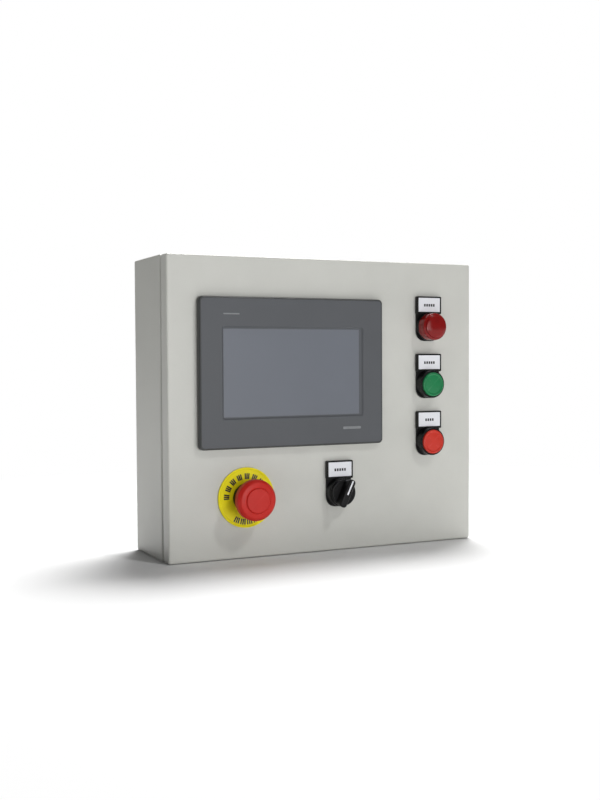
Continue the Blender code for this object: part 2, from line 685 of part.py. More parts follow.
# The operator panel: local Z points out of the door, local Y up
def operator_panel(door, plastic, dark, glass, rubber, circuit):
    seat = empty("hmi_seat", door, (HMI_X - PIVOT_X, DOOR_FRONT_Y - PIVOT_Y, HMI_Z), (math.pi / 2, 0, 0))
    rear = 2 * GAP + SEAL_THICK
    frame = [
        rounded(HMI_WIDE, HMI_TALL, HMI_CORNER, rear, HMI_CHAMFER / 2),
        rounded(HMI_WIDE, HMI_TALL, HMI_CORNER, rear + HMI_CHAMFER / 2),
        rounded(HMI_WIDE, HMI_TALL, HMI_CORNER, HMI_PROUD - HMI_CHAMFER),
        rounded(HMI_WIDE, HMI_TALL, HMI_CORNER, HMI_PROUD, HMI_CHAMFER),
    ]
    bezel = add("hmi_bezel", stack(frame), plastic, seat)
    pocket_top = HMI_PROUD - HMI_FRONT_WALL
    pocket_wide = CUTOUT_WIDE + 4 * GAP
    pocket_tall = CUTOUT_TALL + 4 * GAP
    pocket = slab(pocket_wide, pocket_tall, HMI_INNER_CORNER, -HMI_PROUD, pocket_top)
    cut(bezel, "pocket", pocket)
    window = [
        rounded(SCREEN_WIDE, SCREEN_TALL, SCREEN_CORNER, pocket_top - HMI_FRONT_WALL),
        rounded(SCREEN_WIDE, SCREEN_TALL, SCREEN_CORNER, HMI_PROUD - SCREEN_BEVEL),
        rounded(SCREEN_WIDE, SCREEN_TALL, SCREEN_CORNER, HMI_PROUD + SCREEN_BEVEL, -2 * SCREEN_BEVEL),
    ]
    cut(bezel, "window", stack(window))

    seal_wide = HMI_WIDE - 4 * HMI_CHAMFER
    seal_tall = HMI_TALL - 4 * HMI_CHAMFER
    seal = slab(seal_wide, seal_tall, HMI_INNER_CORNER, GAP, GAP + SEAL_THICK)
    gasket = add("hmi_gasket", seal, rubber, seat)
    inner = slab(CUTOUT_WIDE + CASE_WALL, CUTOUT_TALL + CASE_WALL, HMI_INNER_CORNER, -HMI_PROUD, HMI_PROUD)
    cut(gasket, "middle", inner)

    touch_top = pocket_top - GAP
    touch_wide = SCREEN_WIDE + 2 * SCREEN_OVERLAP
    touch_tall = SCREEN_TALL + 2 * SCREEN_OVERLAP
    touch = slab(touch_wide, touch_tall, SCREEN_CORNER, touch_top - TOUCH_THICK, touch_top)
    add("hmi_touch_screen", touch, glass, seat)
    display_top = touch_top - TOUCH_THICK - GAP
    step_in = SCREEN_OVERLAP * 0.4
    display = slab(
        touch_wide - step_in, touch_tall - step_in, SCREEN_CORNER, display_top - DISPLAY_THICK, display_top
    )
    add("hmi_display_module", display, circuit, seat)

    case_wide = CUTOUT_WIDE - 2 * GAP
    case_tall = CUTOUT_TALL - 2 * GAP
    case_top = pocket_top - GAP
    shell = [
        rounded(case_wide, case_tall, HMI_INNER_CORNER, -CASE_DEPTH, CASE_TAPER / 2),
        rounded(case_wide, case_tall, HMI_INNER_CORNER, -CASE_DEPTH + CASE_TAPER),
        rounded(case_wide, case_tall, HMI_INNER_CORNER, case_top),
    ]
    case = add("hmi_rear_case", stack(shell), dark, seat)
    inner_wide = case_wide - 2 * CASE_WALL
    inner_tall = case_tall - 2 * CASE_WALL
    case_floor = -CASE_DEPTH + 2 * CASE_WALL
    hollow = slab(inner_wide, inner_tall, HMI_INNER_CORNER - CASE_WALL / 2, case_floor, HMI_PROUD)
    cut(case, "inside", hollow)

    number = 0
    for side_y in (1, -1):
        for side_x in (-1, 1):
            number += 1
            middle_y = side_y * (case_tall / 2 + GAP + CLAMP_TALL / 2)
            middle = (side_x * CLAMP_X, middle_y)
            block = slab(CLAMP_WIDE, CLAMP_TALL, CLAMP_CORNER, -CASE_DEPTH * 0.7, -CASE_DEPTH * 0.2, middle)
            clamp = add(f"hmi_clamp_{number}", block, circuit, seat)
            join(clamp, "screw", rod(CLAMP_SCREW, -CASE_DEPTH * 0.8, -DOOR_BACK, 12, middle))


# Parts shared by the 22 mm controls: local Z points out of the door, local Y up
def station_seat(name, door):
    x, z = STATIONS[name]
    return empty(f"{name}_axis", door, (x - PIVOT_X, DOOR_FRONT_Y - PIVOT_Y, z), (math.pi / 2, 0, 0))


def legend_holder(name, seat, plastic, paper):
    lower_wide = HOLDER_WIDE - 4 * GAP
    lower_tall = HOLDER_TALL - 2 * GAP
    middle = HOLDER_TOP - HOLDER_TALL + lower_tall / 2
    corners = (HOLDER_CORNER, HOLDER_CORNER, 2 * GAP, 2 * GAP)
    plate = slab(lower_wide, lower_tall, corners, GAP, HOLDER_FACE, (0, middle))
    holder = add(f"{name}_holder", plate, plastic, seat)
    frame_middle = HOLDER_TOP - HOLDER_FRAME_TALL / 2
    frame_top = GAP + HOLDER_FRAME_THICK
    frame = slab(HOLDER_WIDE, HOLDER_FRAME_TALL, FRAME_CORNER, GAP * 2, frame_top, (0, frame_middle))
    join(holder, "frame", frame)
    recess = frame_top - LABEL_THICK - 2 * GAP
    label_middle = HOLDER_TOP - LABEL_DROP - LABEL_TALL / 2
    pocket_wide = LABEL_WIDE + 2 * GAP
    pocket_tall = LABEL_TALL + 2 * GAP
    pocket_top = 2 * HOLDER_FRAME_THICK
    pocket = slab(pocket_wide, pocket_tall, FRAME_CORNER, recess, pocket_top, (0, label_middle))
    cut(holder, "pocket", pocket)
    cut(holder, "ring_relief", rod(RING_RADIUS + 2 * GAP, HOLDER_FACE, pocket_top, ROUND))
    cut(holder, "hole", rod(STATION_HOLE, -HOLDER_FACE, pocket_top, 24))
    low = recess + GAP
    card = slab(LABEL_WIDE, LABEL_TALL, LABEL_CORNER, low, low + LABEL_THICK, (0, label_middle))
    add(f"{name}_label", card, paper, seat)


def control_body(name, seat, plastic, seat_height, proud, bore, cup=0.0, cup_floor=0.0):
    """The ring in front of the door and the barrel through it, with a bore and a wider cup at the front."""
    outline = [
        (bore, -BARREL_LENGTH),
        (BARREL_RADIUS, -BARREL_LENGTH),
        (BARREL_RADIUS, seat_height + GAP),
        (RING_RADIUS, seat_height + GAP),
        (RING_RADIUS, proud - RING_CHAMFER),
        (RING_RADIUS - RING_CHAMFER, proud),
    ]
    if cup:
        outline += [(cup, proud), (cup, cup_floor), (bore, cup_floor)]
    else:
        outline += [(bore, proud)]
    add(f"{name}_body", turned(outline), plastic, seat)


def collar_and_block(name, seat, block_name, plastic, block_plastic):
    collar = tube(BARREL_RADIUS + GAP, RING_RADIUS, -DOOR_BACK - COLLAR_THICK, -DOOR_BACK, 24)
    add(f"{name}_collar", collar, plastic, seat)
    front = -BARREL_LENGTH - GAP
    half = BLOCK_TALL / 2
    outline = [
        (-half, front),
        (half, front),
        (half, front - BLOCK_DEEP * 0.55),
        (half - BLOCK_SHOULDER, front - BLOCK_DEEP * 0.65),
        (half - BLOCK_SHOULDER, front - BLOCK_DEEP),
        (-half + BLOCK_SHOULDER, front - BLOCK_DEEP),
        (-half + BLOCK_SHOULDER, front - BLOCK_DEEP * 0.65),
        (-half, front - BLOCK_DEEP * 0.55),
    ]
    add(f"{name}_{block_name}", side_profile(outline, -BLOCK_WIDE / 2, BLOCK_WIDE / 2), block_plastic, seat)


def push_button(name, door, colour, black, paper, block):
    seat = station_seat(name, door)
    legend_holder(name, seat, black, paper)
    cap_back = RING_PROUD - CAP_TRAVEL + CAP_PROUD - 2 * GAP
    floor = cap_back - CAP_TRAVEL - GAP
    control_body(name, seat, black, HOLDER_FACE, RING_PROUD, STEM_RADIUS + GAP, CAP_RADIUS + GAP, floor)
    collar_and_block(name, seat, "contact_block", black, block)
    face = RING_PROUD + CAP_PROUD
    outline = [
        (0, -STEM_LENGTH),
        (STEM_RADIUS, -STEM_LENGTH),
        (STEM_RADIUS, cap_back),
        (CAP_RADIUS, cap_back),
        (CAP_RADIUS, face - CAP_EDGE),
        (CAP_RADIUS - CAP_EDGE_WIDE, face - CAP_CROWN),
        (CAP_RADIUS * 0.5, face - CAP_CROWN / 5),
        (0, face),
    ]
    add(f"{name}_button", turned(outline), colour, seat)


def pilot_light(door, lens_red, black, paper, block):
    seat = station_seat("pilot", door)
    legend_holder("pilot", seat, black, paper)
    control_body("pilot", seat, black, HOLDER_FACE, LENS_SEAT - GAP, PILOT_BORE)
    collar_and_block("pilot", seat, "led_module", black, block)
    rim = LENS_SEAT + LENS_WALL
    outline = [
        (LENS_RADIUS - LENS_THICK, LENS_SEAT),
        (LENS_RADIUS, LENS_SEAT),
        (LENS_RADIUS, rim - LENS_EDGE),
        (LENS_RADIUS - LENS_EDGE, rim),
        (LENS_RADIUS * 0.8, rim + LENS_DOME * 0.55),
        (LENS_RADIUS * 0.45, rim + LENS_DOME * 0.9),
        (0, rim + LENS_DOME),
        (0, rim + LENS_DOME - LENS_THICK),
        (LENS_RADIUS * 0.45, rim + LENS_DOME * 0.9 - LENS_THICK),
        (LENS_RADIUS - LENS_THICK, rim - LENS_THICK),
    ]
    add("pilot_lens", turned(outline), lens_red, seat)
    bulb = rod(LED_RADIUS, -BARREL_LENGTH - BLOCK_DEEP / 2, LENS_SEAT + LENS_WALL / 2, 16)
    join(bpy.data.objects["pilot_led_module"], "led", bulb)


def selector_switch(door, black, paper, block):
    seat = station_seat("selector", door)
    legend_holder("selector", seat, black, paper)
    control_body("selector", seat, black, HOLDER_FACE, RING_PROUD - SELECTOR_RING_DROP, STEM_RADIUS + GAP)
    collar_and_block("selector", seat, "contact_block", black, block)
    low = RING_PROUD - SELECTOR_RING_DROP + GAP
    outline = [
        (0, -STEM_LENGTH),
        (STEM_RADIUS, -STEM_LENGTH),
        (STEM_RADIUS, low),
        (KNOB_RADIUS, low),
        (KNOB_RADIUS, low + KNOB_DISC - KNOB_EDGE),
        (KNOB_RADIUS - KNOB_EDGE, low + KNOB_DISC),
        (0, low + KNOB_DISC),
    ]
    knob = add("selector_knob", turned(outline), black, seat)
    knob.rotation_euler = (0, 0, -math.radians(SELECTOR_REST_DEG))
    base = low + KNOB_DISC / 2
    grip = [
        rounded(HANDLE_WIDE, HANDLE_LONG - HANDLE_CORNER, HANDLE_CORNER, base),
        rounded(HANDLE_WIDE, HANDLE_LONG, HANDLE_CORNER, low + HANDLE_TALL - 2 * HANDLE_EDGE),
        rounded(HANDLE_WIDE, HANDLE_LONG, HANDLE_CORNER, low + HANDLE_TALL, HANDLE_EDGE),
    ]
    handle = add("selector_knob.handle", stack(grip), parent=seat)
    handle.rotation_euler = knob.rotation_euler
    combine(knob, handle, "UNION")


def emergency_stop(door, red, yellow, black, block):
    seat = station_seat("estop", door)
    disc_top = GAP + LEGEND_DISC_THICK
    disc = [
        (STATION_HOLE, GAP),
        (LEGEND_DISC_RADIUS, GAP),
        (LEGEND_DISC_RADIUS, disc_top - DISC_RIM),
        (LEGEND_DISC_RADIUS - DISC_RIM_WIDE / 4, disc_top + DISC_RIM),
        (LEGEND_DISC_RADIUS - DISC_RIM_WIDE, disc_top),
        (STATION_HOLE, disc_top),
    ]
    add("estop_legend_disc", turned(disc, 36), yellow, seat)
    bore = PLUNGER_RADIUS + GAP
    control_body("estop", seat, black, disc_top, RING_PROUD, bore)
    collar_and_block("estop", seat, "contact_block", black, block)
    shoulder = MUSHROOM_BASE - GAP
    plunger = [
        (0, -ESTOP_STEM_LENGTH),
        (PLUNGER_RADIUS, -ESTOP_STEM_LENGTH),
        (PLUNGER_RADIUS, shoulder),
        (PLUNGER_TIP, shoulder),
        (PLUNGER_TIP, shoulder + PLUNGER_TIP_LENGTH),
        (0, shoulder + PLUNGER_TIP_LENGTH),
    ]
    add("estop_plunger", turned(plunger, 24), black, seat)
    socket = PLUNGER_TIP + GAP
    socket_top = shoulder + PLUNGER_TIP_LENGTH + GAP
    top = MUSHROOM_BASE + MUSHROOM_TALL
    head = [
        (socket, MUSHROOM_BASE),
        (MUSHROOM_FOOT, MUSHROOM_BASE),
        (MUSHROOM_RADIUS - MUSHROOM_CROWN, MUSHROOM_BASE + MUSHROOM_SKIRT / 2),
        (MUSHROOM_RADIUS, MUSHROOM_BASE + MUSHROOM_SKIRT),
        (MUSHROOM_RADIUS, top - MUSHROOM_ROUND),
        (MUSHROOM_RADIUS - MUSHROOM_CROWN, top - MUSHROOM_ROUND / 2),
        (MUSHROOM_RADIUS * 0.75, top - MUSHROOM_CROWN),
        (MUSHROOM_RADIUS * 0.6, top - MUSHROOM_CROWN / 2),
        (MUSHROOM_RADIUS * 0.56, top),
        (0, top),
        (0, socket_top),
        (socket, socket_top),
    ]
    add("estop_head", turned(head, 32), red, seat)


STATIONS = {
    "pilot": (WIDTH / 2 - COLUMN_SETBACK, HEIGHT / 2 - COLUMN_TOP),
    "start": (WIDTH / 2 - COLUMN_SETBACK, HEIGHT / 2 - COLUMN_TOP - COLUMN_PITCH),
    "stop": (WIDTH / 2 - COLUMN_SETBACK, HEIGHT / 2 - COLUMN_TOP - 2 * COLUMN_PITCH),
    "selector": (SELECTOR_X, -HEIGHT / 2 + LOWER_ROW),
    "estop": (-WIDTH / 2 + ESTOP_SETBACK, -HEIGHT / 2 + LOWER_ROW),
}


def main():
    for obj in list(bpy.data.objects):
        bpy.data.objects.remove(obj)

    paint = material("light_grey_powder_coat", (0.53, 0.53, 0.49), 0.45)
    zinc = material("zinc_plated_steel", (0.62, 0.63, 0.62), 0.35, 1.0)
    steel = material("bright_steel", (0.55, 0.55, 0.56), 0.30, 1.0)
    black = material("black_plastic", (0.012, 0.012, 0.012), 0.35)
    slate = material("slate_grey_plastic", (0.105, 0.110, 0.115), 0.45)
    dark = material("dark_grey_plastic", (0.045, 0.047, 0.050), 0.50)
    glass = material("touch_film", (0.165, 0.180, 0.205), 0.12)
    rubber = material("black_foam_rubber", (0.020, 0.020, 0.020), 0.90)
    circuit = material("grey_moulding", (0.25, 0.25, 0.26), 0.50)
    block = material("contact_block_grey", (0.10, 0.10, 0.10), 0.45)
    paper = material("white_legend", (0.76, 0.76, 0.80), 0.40)
    green = material("green_button", (0.015, 0.270, 0.095), 0.28)
    signal_red = material("red_button", (0.600, 0.045, 0.030), 0.28)
    lens_red = material("red_lens", (0.180, 0.008, 0.008), 0.10)
    yellow = material("yellow_legend", (0.720, 0.620, 0.015), 0.35)

    enclosure_body(paint)
    mounting_plate(zinc)
    gland_plate(paint, rubber)
    din_rail(zinc)
    power_supply(circuit)
    terminal_strip(circuit)

    door = empty("door_hinge_axis", at=(PIVOT_X, PIVOT_Y, 0))
    door_panel(paint, door)
    door_gasket(rubber, door)
    hinge("top", HINGE_Z, door, steel)
    hinge("bottom", -HINGE_Z, door, steel)
    lock(steel, zinc, door)
    operator_panel(door, slate, dark, glass, rubber, circuit)
    pilot_light(door, lens_red, black, paper, block)
    push_button("start", door, green, black, paper, block)
    push_button("stop", door, signal_red, black, paper, block)
    selector_switch(door, black, paper, block)
    emergency_stop(door, signal_red, yellow, black, block)


main()
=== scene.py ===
import math

import bmesh
import bpy
from mathutils import Matrix, Vector


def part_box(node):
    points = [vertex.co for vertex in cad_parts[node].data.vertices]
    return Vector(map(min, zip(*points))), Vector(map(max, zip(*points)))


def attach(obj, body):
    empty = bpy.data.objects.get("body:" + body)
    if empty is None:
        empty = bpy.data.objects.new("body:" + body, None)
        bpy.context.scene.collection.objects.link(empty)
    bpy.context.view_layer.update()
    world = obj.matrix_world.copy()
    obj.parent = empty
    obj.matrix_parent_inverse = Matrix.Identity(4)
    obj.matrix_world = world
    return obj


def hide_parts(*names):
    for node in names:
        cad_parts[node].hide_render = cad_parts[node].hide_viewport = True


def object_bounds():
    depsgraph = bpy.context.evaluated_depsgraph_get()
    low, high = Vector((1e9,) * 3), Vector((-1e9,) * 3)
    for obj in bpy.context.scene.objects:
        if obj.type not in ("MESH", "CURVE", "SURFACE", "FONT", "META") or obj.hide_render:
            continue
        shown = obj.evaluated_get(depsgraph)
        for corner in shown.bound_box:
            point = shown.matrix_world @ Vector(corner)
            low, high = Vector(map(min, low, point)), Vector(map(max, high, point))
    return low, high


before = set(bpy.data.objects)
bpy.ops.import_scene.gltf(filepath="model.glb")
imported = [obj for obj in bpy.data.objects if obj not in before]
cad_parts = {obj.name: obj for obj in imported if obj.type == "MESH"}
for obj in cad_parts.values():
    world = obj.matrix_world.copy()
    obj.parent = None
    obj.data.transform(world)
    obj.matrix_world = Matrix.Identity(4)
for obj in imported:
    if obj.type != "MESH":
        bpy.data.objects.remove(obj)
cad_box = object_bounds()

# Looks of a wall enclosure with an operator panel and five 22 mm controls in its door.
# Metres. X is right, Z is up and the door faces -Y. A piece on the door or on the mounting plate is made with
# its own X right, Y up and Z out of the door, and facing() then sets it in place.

# Sheet metal
SHEET = 0.0015
FOLD = 0.002  # outer radius of a fold
GAP = 0.0003  # between pieces that touch
DOOR_GAP = 0.0035
LIP_SETBACK = 0.017
WALL_HOLE = 0.0045
WALL_HOLE_SETBACK = 0.022
GLAND = (0.12, 0.04)  # opening in the floor of the body
STUD_SHOULDER = 0.005
STUD = 0.003

# Operator panel
HMI_FLANGE = 0.007
HMI_CORNER = 0.0045
HMI_CHAMFER = 0.0012
HMI_FRONT_WALL = 0.0028
RECESS = (0.1562, 0.0912)  # the opening at the front face of the bezel
WINDOW = (0.1536, 0.0884)  # the same at the glass
GLASS_DEPTH = 0.0012  # front face of the bezel down to the glass
SCREEN = (0.15, 0.0864)  # what lights up
SCREEN_SHIFT = -0.0014
FILM_INSET = 0.002  # edge of the bezel to its front film
FRONT_BARS = (((0.017, 0.0013), (-0.0681, 0.0578)), ((0.0205, 0.0026), (0.0648, -0.0573)))  # size, place

# 22 mm controls
RING = 0.0145
RING_PROUD = 0.012
BARREL = 0.0109
THREAD_ROOT = 0.0102
THREAD_PITCH = 0.0015
BARREL_BACK = -0.022
STATION_HOLE = 0.01125
STEM = 0.006
STEM_BACK = -0.017
HOLDER_PLATE = 0.0017
HOLDER_THICK = 0.0053
HOLDER_FRAME_TALL = 0.0186
CAP = 0.0127
CAP_FACE = 0.0138
CAP_BACK = 0.0092
LENS = 0.0142
LENS_SEAT = 0.006
LENS_RIM = 0.0165
LENS_TOP = 0.0195
KNOB = 0.0134
KNOB_SEAT = 0.0103
KNOB_FACE = 0.0138
HANDLE = (0.0085, 0.03)
HANDLE_TOP = 0.0228
SELECTOR_TURN = math.radians(25)
DISC = 0.03
DISC_FACE = 0.0018
MARK_STEP = 4.9  # degrees between the bars of a mark
HEAD = 0.0203
HEAD_BASE = 0.0175
HEAD_TOP = 0.0325

# Floor: painted light, a white glow that starts at FADE_NEAR from the body and makes the floor plain white by
# FADE_FAR; nearer the body only the lamps light and shade it
FADE_NEAR = 0.1
FADE_FAR = 0.7

RAIL_SHEET = 0.001
RAIL_SLOT_PITCH = 0.025
SCREW_SLOT = 0.0007
BAY = (0.118, 0.0185)  # connector bay in the back of the operator panel
BAY_DEEP = 0.0085

SMOOTH = 96  # sides of a large round piece
FINE = 48
PAST = 0.01  # how far a cutter runs past what it cuts
LIFT = 0.00001  # a printed mark off the face below it
CORNERS = [(x, z) for x in (-1, 1) for z in (-1, 1)]

# Camera: place, turn in degrees, focal length and sensor width in mm
CAMERA_AT = (-0.51326, -1.09268, 0.04701)
CAMERA_TURN = (87.888, 0.302, -25.842)
CAMERA_LENS = 49.06
CAMERA_SENSOR = 36.0


def box_of(node):
    """A node's lowest and highest corner and its middle."""
    low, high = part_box(node)
    return low, high, (low + high) / 2


def door_box(node):
    """A node on the door in the door's own axes: width, height, rear, front and (x, z) of its middle."""
    low, high, middle = box_of(node)
    return high.x - low.x, high.z - low.z, -high.y - FRONT, -low.y - FRONT, (middle.x, middle.z)


FRONT = -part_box("door_panel")[0].y
DOOR_REAR = -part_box("door_panel")[1].y
BODY_FRONT = DOOR_REAR - DOOR_GAP
LIP_FRONT = -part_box("enclosure_body")[0].y
HALF_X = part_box("enclosure_body")[1].x
HALF_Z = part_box("enclosure_body")[1].z


# Outlines
def soften(corners, steps=4):
    """A closed outline from (x, y, radius) corners, each rounded by an arc of its radius."""
    points = []
    for i, (x, y, radius) in enumerate(corners):
        if radius <= 0:
            points.append((x, y))
            continue
        here = Vector((x, y))
        back = (Vector(corners[i - 1][:2]) - here).normalized()
        onward = (Vector(corners[(i + 1) % len(corners)][:2]) - here).normalized()
        half = back.angle(onward) / 2
        centre = here + (back + onward).normalized() * radius / math.sin(half)
        start = here + back * radius / math.tan(half) - centre
        sweep = math.pi - 2 * half
        if back.cross(onward) > 0:
            sweep = -sweep
        for step in range(steps + 1):
            arm = start.copy()
            arm.rotate(Matrix.Rotation(sweep * step / steps, 2))
            points.append(tuple(centre + arm))
    return points


def rounded(wide, tall, radius, height=0.0, inset=0.0, centre=(0.0, 0.0), steps=6):
    """A rounded rectangle at one height; radius is one value, or four, counter-clockwise from lower left."""
    radii = radius if isinstance(radius, tuple) else (radius,) * 4
    points = []
    for quarter, (sign_x, sign_y) in enumerate(((-1, -1), (1, -1), (1, 1), (-1, 1))):
        corner = max(radii[quarter] - inset, 0.00015)
        for step in range(steps + 1):
            angle = math.pi + (quarter + step / steps) * math.pi / 2
            x = centre[0] + sign_x * (wide / 2 - inset - corner) + corner * math.cos(angle)
            y = centre[1] + sign_y * (tall / 2 - inset - corner) + corner * math.sin(angle)
            points.append((x, y, height))
    return points


def thread(outer, root, low, high, pitch):
    """(radius, height) points of a screw thread drawn as rings, from low to high."""
    turns = int((high - low) / pitch)
    points = []
    for turn in range(turns):
        start = low + turn * pitch
        points += [(root, start + pitch * 0.1), (outer, start + pitch * 0.4)]
        points += [(outer, start + pitch * 0.6), (root, start + pitch * 0.9)]
    return points


# Solids
def loft(rings, closed=False):
    """A solid through rings of equal length: capped at its ends, or joined end to end when closed."""
    form = bmesh.new()
    made = [[form.verts.new(point) for point in ring] for ring in rings]
    pairs = list(zip(made, made[1:] + made[:1])) if closed else list(zip(made, made[1:]))
    for lower, upper in pairs:
        for i in range(len(lower)):
            j = (i + 1) % len(lower)
            form.faces.new((lower[i], lower[j], upper[j], upper[i]))
    if not closed:
        form.faces.new(list(reversed(made[0])))
        form.faces.new(made[-1])
    return form


def turned(profile, sides=SMOOTH, centre=(0.0, 0.0), ripple=None):
    """A closed outline of (radius, height) points spun about Z. ripple(angle, radius) may change a radius."""
    form = bmesh.new()
    angles = [2 * math.pi * (side + 0.5) / sides for side in range(sides)]
    rings = []
    for radius, height in profile:
        if radius <= 0:
            rings.append([form.verts.new((centre[0], centre[1], height))] * sides)
            continue
        ring = []
        for a in angles:
            r = ripple(a, radius) if ripple else radius
            ring.append(form.verts.new((centre[0] + r * math.cos(a), centre[1] + r * math.sin(a), height)))
        rings.append(ring)
    for ring, following in zip(rings, rings[1:] + rings[:1]):
        for i in range(sides):
            j = (i + 1) % sides
            corners = list(dict.fromkeys([ring[i], ring[j], following[j], following[i]]))
            if len(corners) > 2:
                form.faces.new(corners)
    return form


def rod(radius, low, high, edge=0.0, sides=FINE, centre=(0.0, 0.0)):
    return turned(soften([(0, low, 0), (radius, low, edge), (radius, high, edge), (0, high, 0)], 3), sides,
                  centre)


def tube(inner, outer, low, high, edge=0.0, sides=FINE, centre=(0.0, 0.0)):
    corners = [(inner, low, edge), (outer, low, edge), (outer, high, edge), (inner, high, edge)]
    return turned(soften(corners, 3), sides, centre)


def pad(wide, tall, radius, low, high, edge=0.0004, centre=(0.0, 0.0), under=True, steps=3):
    """A rounded slab whose upper edge, and lower edge when under is set, is a quarter round."""
    leans = [math.pi / 2 * step / steps for step in range(steps + 1)]
    levels = [(low, 0.0)]
    if under:
        levels = [(low + edge * (1 - math.sin(lean)),
                   edge * (1 - math.cos(lean))) for lean in reversed(leans)]
    levels += [(high - edge * (1 - math.sin(lean)), edge * (1 - math.cos(lean))) for lean in leans]
    return loft([rounded(wide, tall, radius, height, inset, centre) for height, inset in levels])


def row(count, pitch):
    """Evenly spaced places about 0."""
    return [(number - (count - 1) / 2) * pitch for number in range(count)]


def slab(wide, tall, radius, low, high, inset=0.0, centre=(0.0, 0.0), steps=6):
    """A rounded rectangle between two heights."""
    return loft([rounded(wide, tall, radius, height, inset, centre, steps) for height in (low, high)])


def block(low, high, edge=0.0, segments=3):
    """A box between two corners, with every edge rounded when edge is given."""
    form = bmesh.new()
    for corner in bmesh.ops.create_cube(form, size=1.0)["verts"]:
        corner.co = [a if c < 0 else b for a, b, c in zip(low, high, corner.co)]
    if edge:
        bmesh.ops.bevel(form, geom=form.edges[:], offset=edge, segments=segments, profile=0.5, affect="EDGES")
    return form


def prism(outline, low, high):
    """A flat outline extruded along Z."""
    return loft([[(x, y, height) for x, y in outline] for height in (low, high)])


def along_x(form, shift=(0, 0, 0)):
    """Sends Z to X, X to Y and Y to Z: for something turned about X, or an outline in Y and Z."""
    form.transform(Matrix(((0, 0, 1, shift[0]), (1, 0, 0, shift[1]), (0, 1, 0, shift[2]), (0, 0, 0, 1))))
    return form


def facing(form, x=0.0, z=0.0, front=FRONT, turn=0.0):
    """Sends Z to -Y and Y to Z, from a point on the plane y = -front, after a clockwise turn about Z."""
    place = Matrix(((1, 0, 0, x), (0, 0, -1, -front), (0, 1, 0, z), (0, 0, 0, 1)))
    form.transform(place @ Matrix.Rotation(-turn, 4, "Z"))
    return form


def moved(form, x=0.0, y=0.0, z=0.0):
    form.transform(Matrix.Translation((x, y, z)))
    return form


def settled(name, form):
    """A mesh block made from form, which is then freed."""
    bmesh.ops.recalc_face_normals(form, faces=form.faces)
    mesh = bpy.data.meshes.new(name)
    form.to_mesh(mesh)
    form.free()
    return mesh


def added(name, mesh):
    """A new object in the scene."""
    made = bpy.data.objects.new(name, mesh)
    bpy.context.scene.collection.objects.link(made)
    return made


def together(meshes):
    """Several meshes as separate islands of one."""
    whole = bmesh.new()
    for form in meshes:
        mesh = settled("part", form)
        whole.from_mesh(mesh)
        bpy.data.meshes.remove(mesh)
    return whole


def carved(form, *changes):
    """form after each (operation, mesh) in turn, where the operation is DIFFERENCE or UNION."""
    base = added("base", settled("base", form))
    helpers = [base]
    for operation, other in changes:
        change = base.modifiers.new("change", "BOOLEAN")
        change.operation = operation
        change.solver = "EXACT"
        change.object = added("helper", settled("helper", other))
        helpers.append(change.object)
    bpy.context.view_layer.update()
    graph = bpy.context.evaluated_depsgraph_get()
    result = bmesh.new()
    result.from_mesh(base.evaluated_get(graph).to_mesh())
    for helper in helpers:
        mesh = helper.data
        bpy.data.objects.remove(helper)
        bpy.data.meshes.remove(mesh)
    return result


def cut(form, *cutters):
    return carved(form, *[("DIFFERENCE", cutter) for cutter in cutters])


def piece(name, form, body, look, replaces=(), slot=None, crease=32):
    """Adds a finished piece that moves with a body. Its slot argument is not used."""
    bmesh.ops.remove_doubles(form, verts=form.verts, dist=2e-6)
    bmesh.ops.dissolve_degenerate(form, edges=form.edges, dist=1e-6)
    mesh = settled(name, form)
    mesh.shade_smooth()
    mesh.set_sharp_from_angle(angle=math.radians(crease))
    mesh.materials.append(FINISH[look])
    made = added(name, mesh)
    polish(made)
    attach(made, body)
    if replaces:
        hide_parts(*replaces)


def on_door(name, form, at, look, replaces=(), **settings):
    """A piece made in the door's own axes, about (x, z)."""
    piece(name, facing(form, *at), "door", look, replaces, **settings)


def on_wall(name, form, at, look, replaces=(), **settings):
    """A piece in the enclosure, about (x, z), whose Z is the distance from the wall."""
    piece(name, facing(form, *at, 0), "enclosure", look, replaces, **settings)


def polish(made, edge=0.0):
    """Rounds the sharp edges when edge is given, and lets the large flat faces lead the shading."""
    if edge:
        bevel = made.modifiers.new("rounded_edges", "BEVEL")
        bevel.width = edge
        bevel.segments = 2
        bevel.limit_method = "ANGLE"
        bevel.angle_limit = math.radians(32)
        bevel.use_clamp_overlap = True
    normals = made.modifiers.new("flat_faces_lead", "WEIGHTED_NORMAL")
    normals.keep_sharp = True
    normals.weight = 80


# Finishes
def node(tree, kind, inputs=(), **settings):
    """Adds a shader node; an input is a value, or another node's output to link."""
    made = tree.nodes.new("ShaderNode" + kind)
    for name, value in settings.items():
        setattr(made, name, value)
    for key, value in dict(inputs).items():
        if isinstance(value, bpy.types.NodeSocket):
            tree.links.new(value, made.inputs[key])
        else:
            made.inputs[key].default_value = value
    return made


def shaded(colour, factor):
    return (*[min(channel * factor, 1.0) for channel in colour], 1.0)


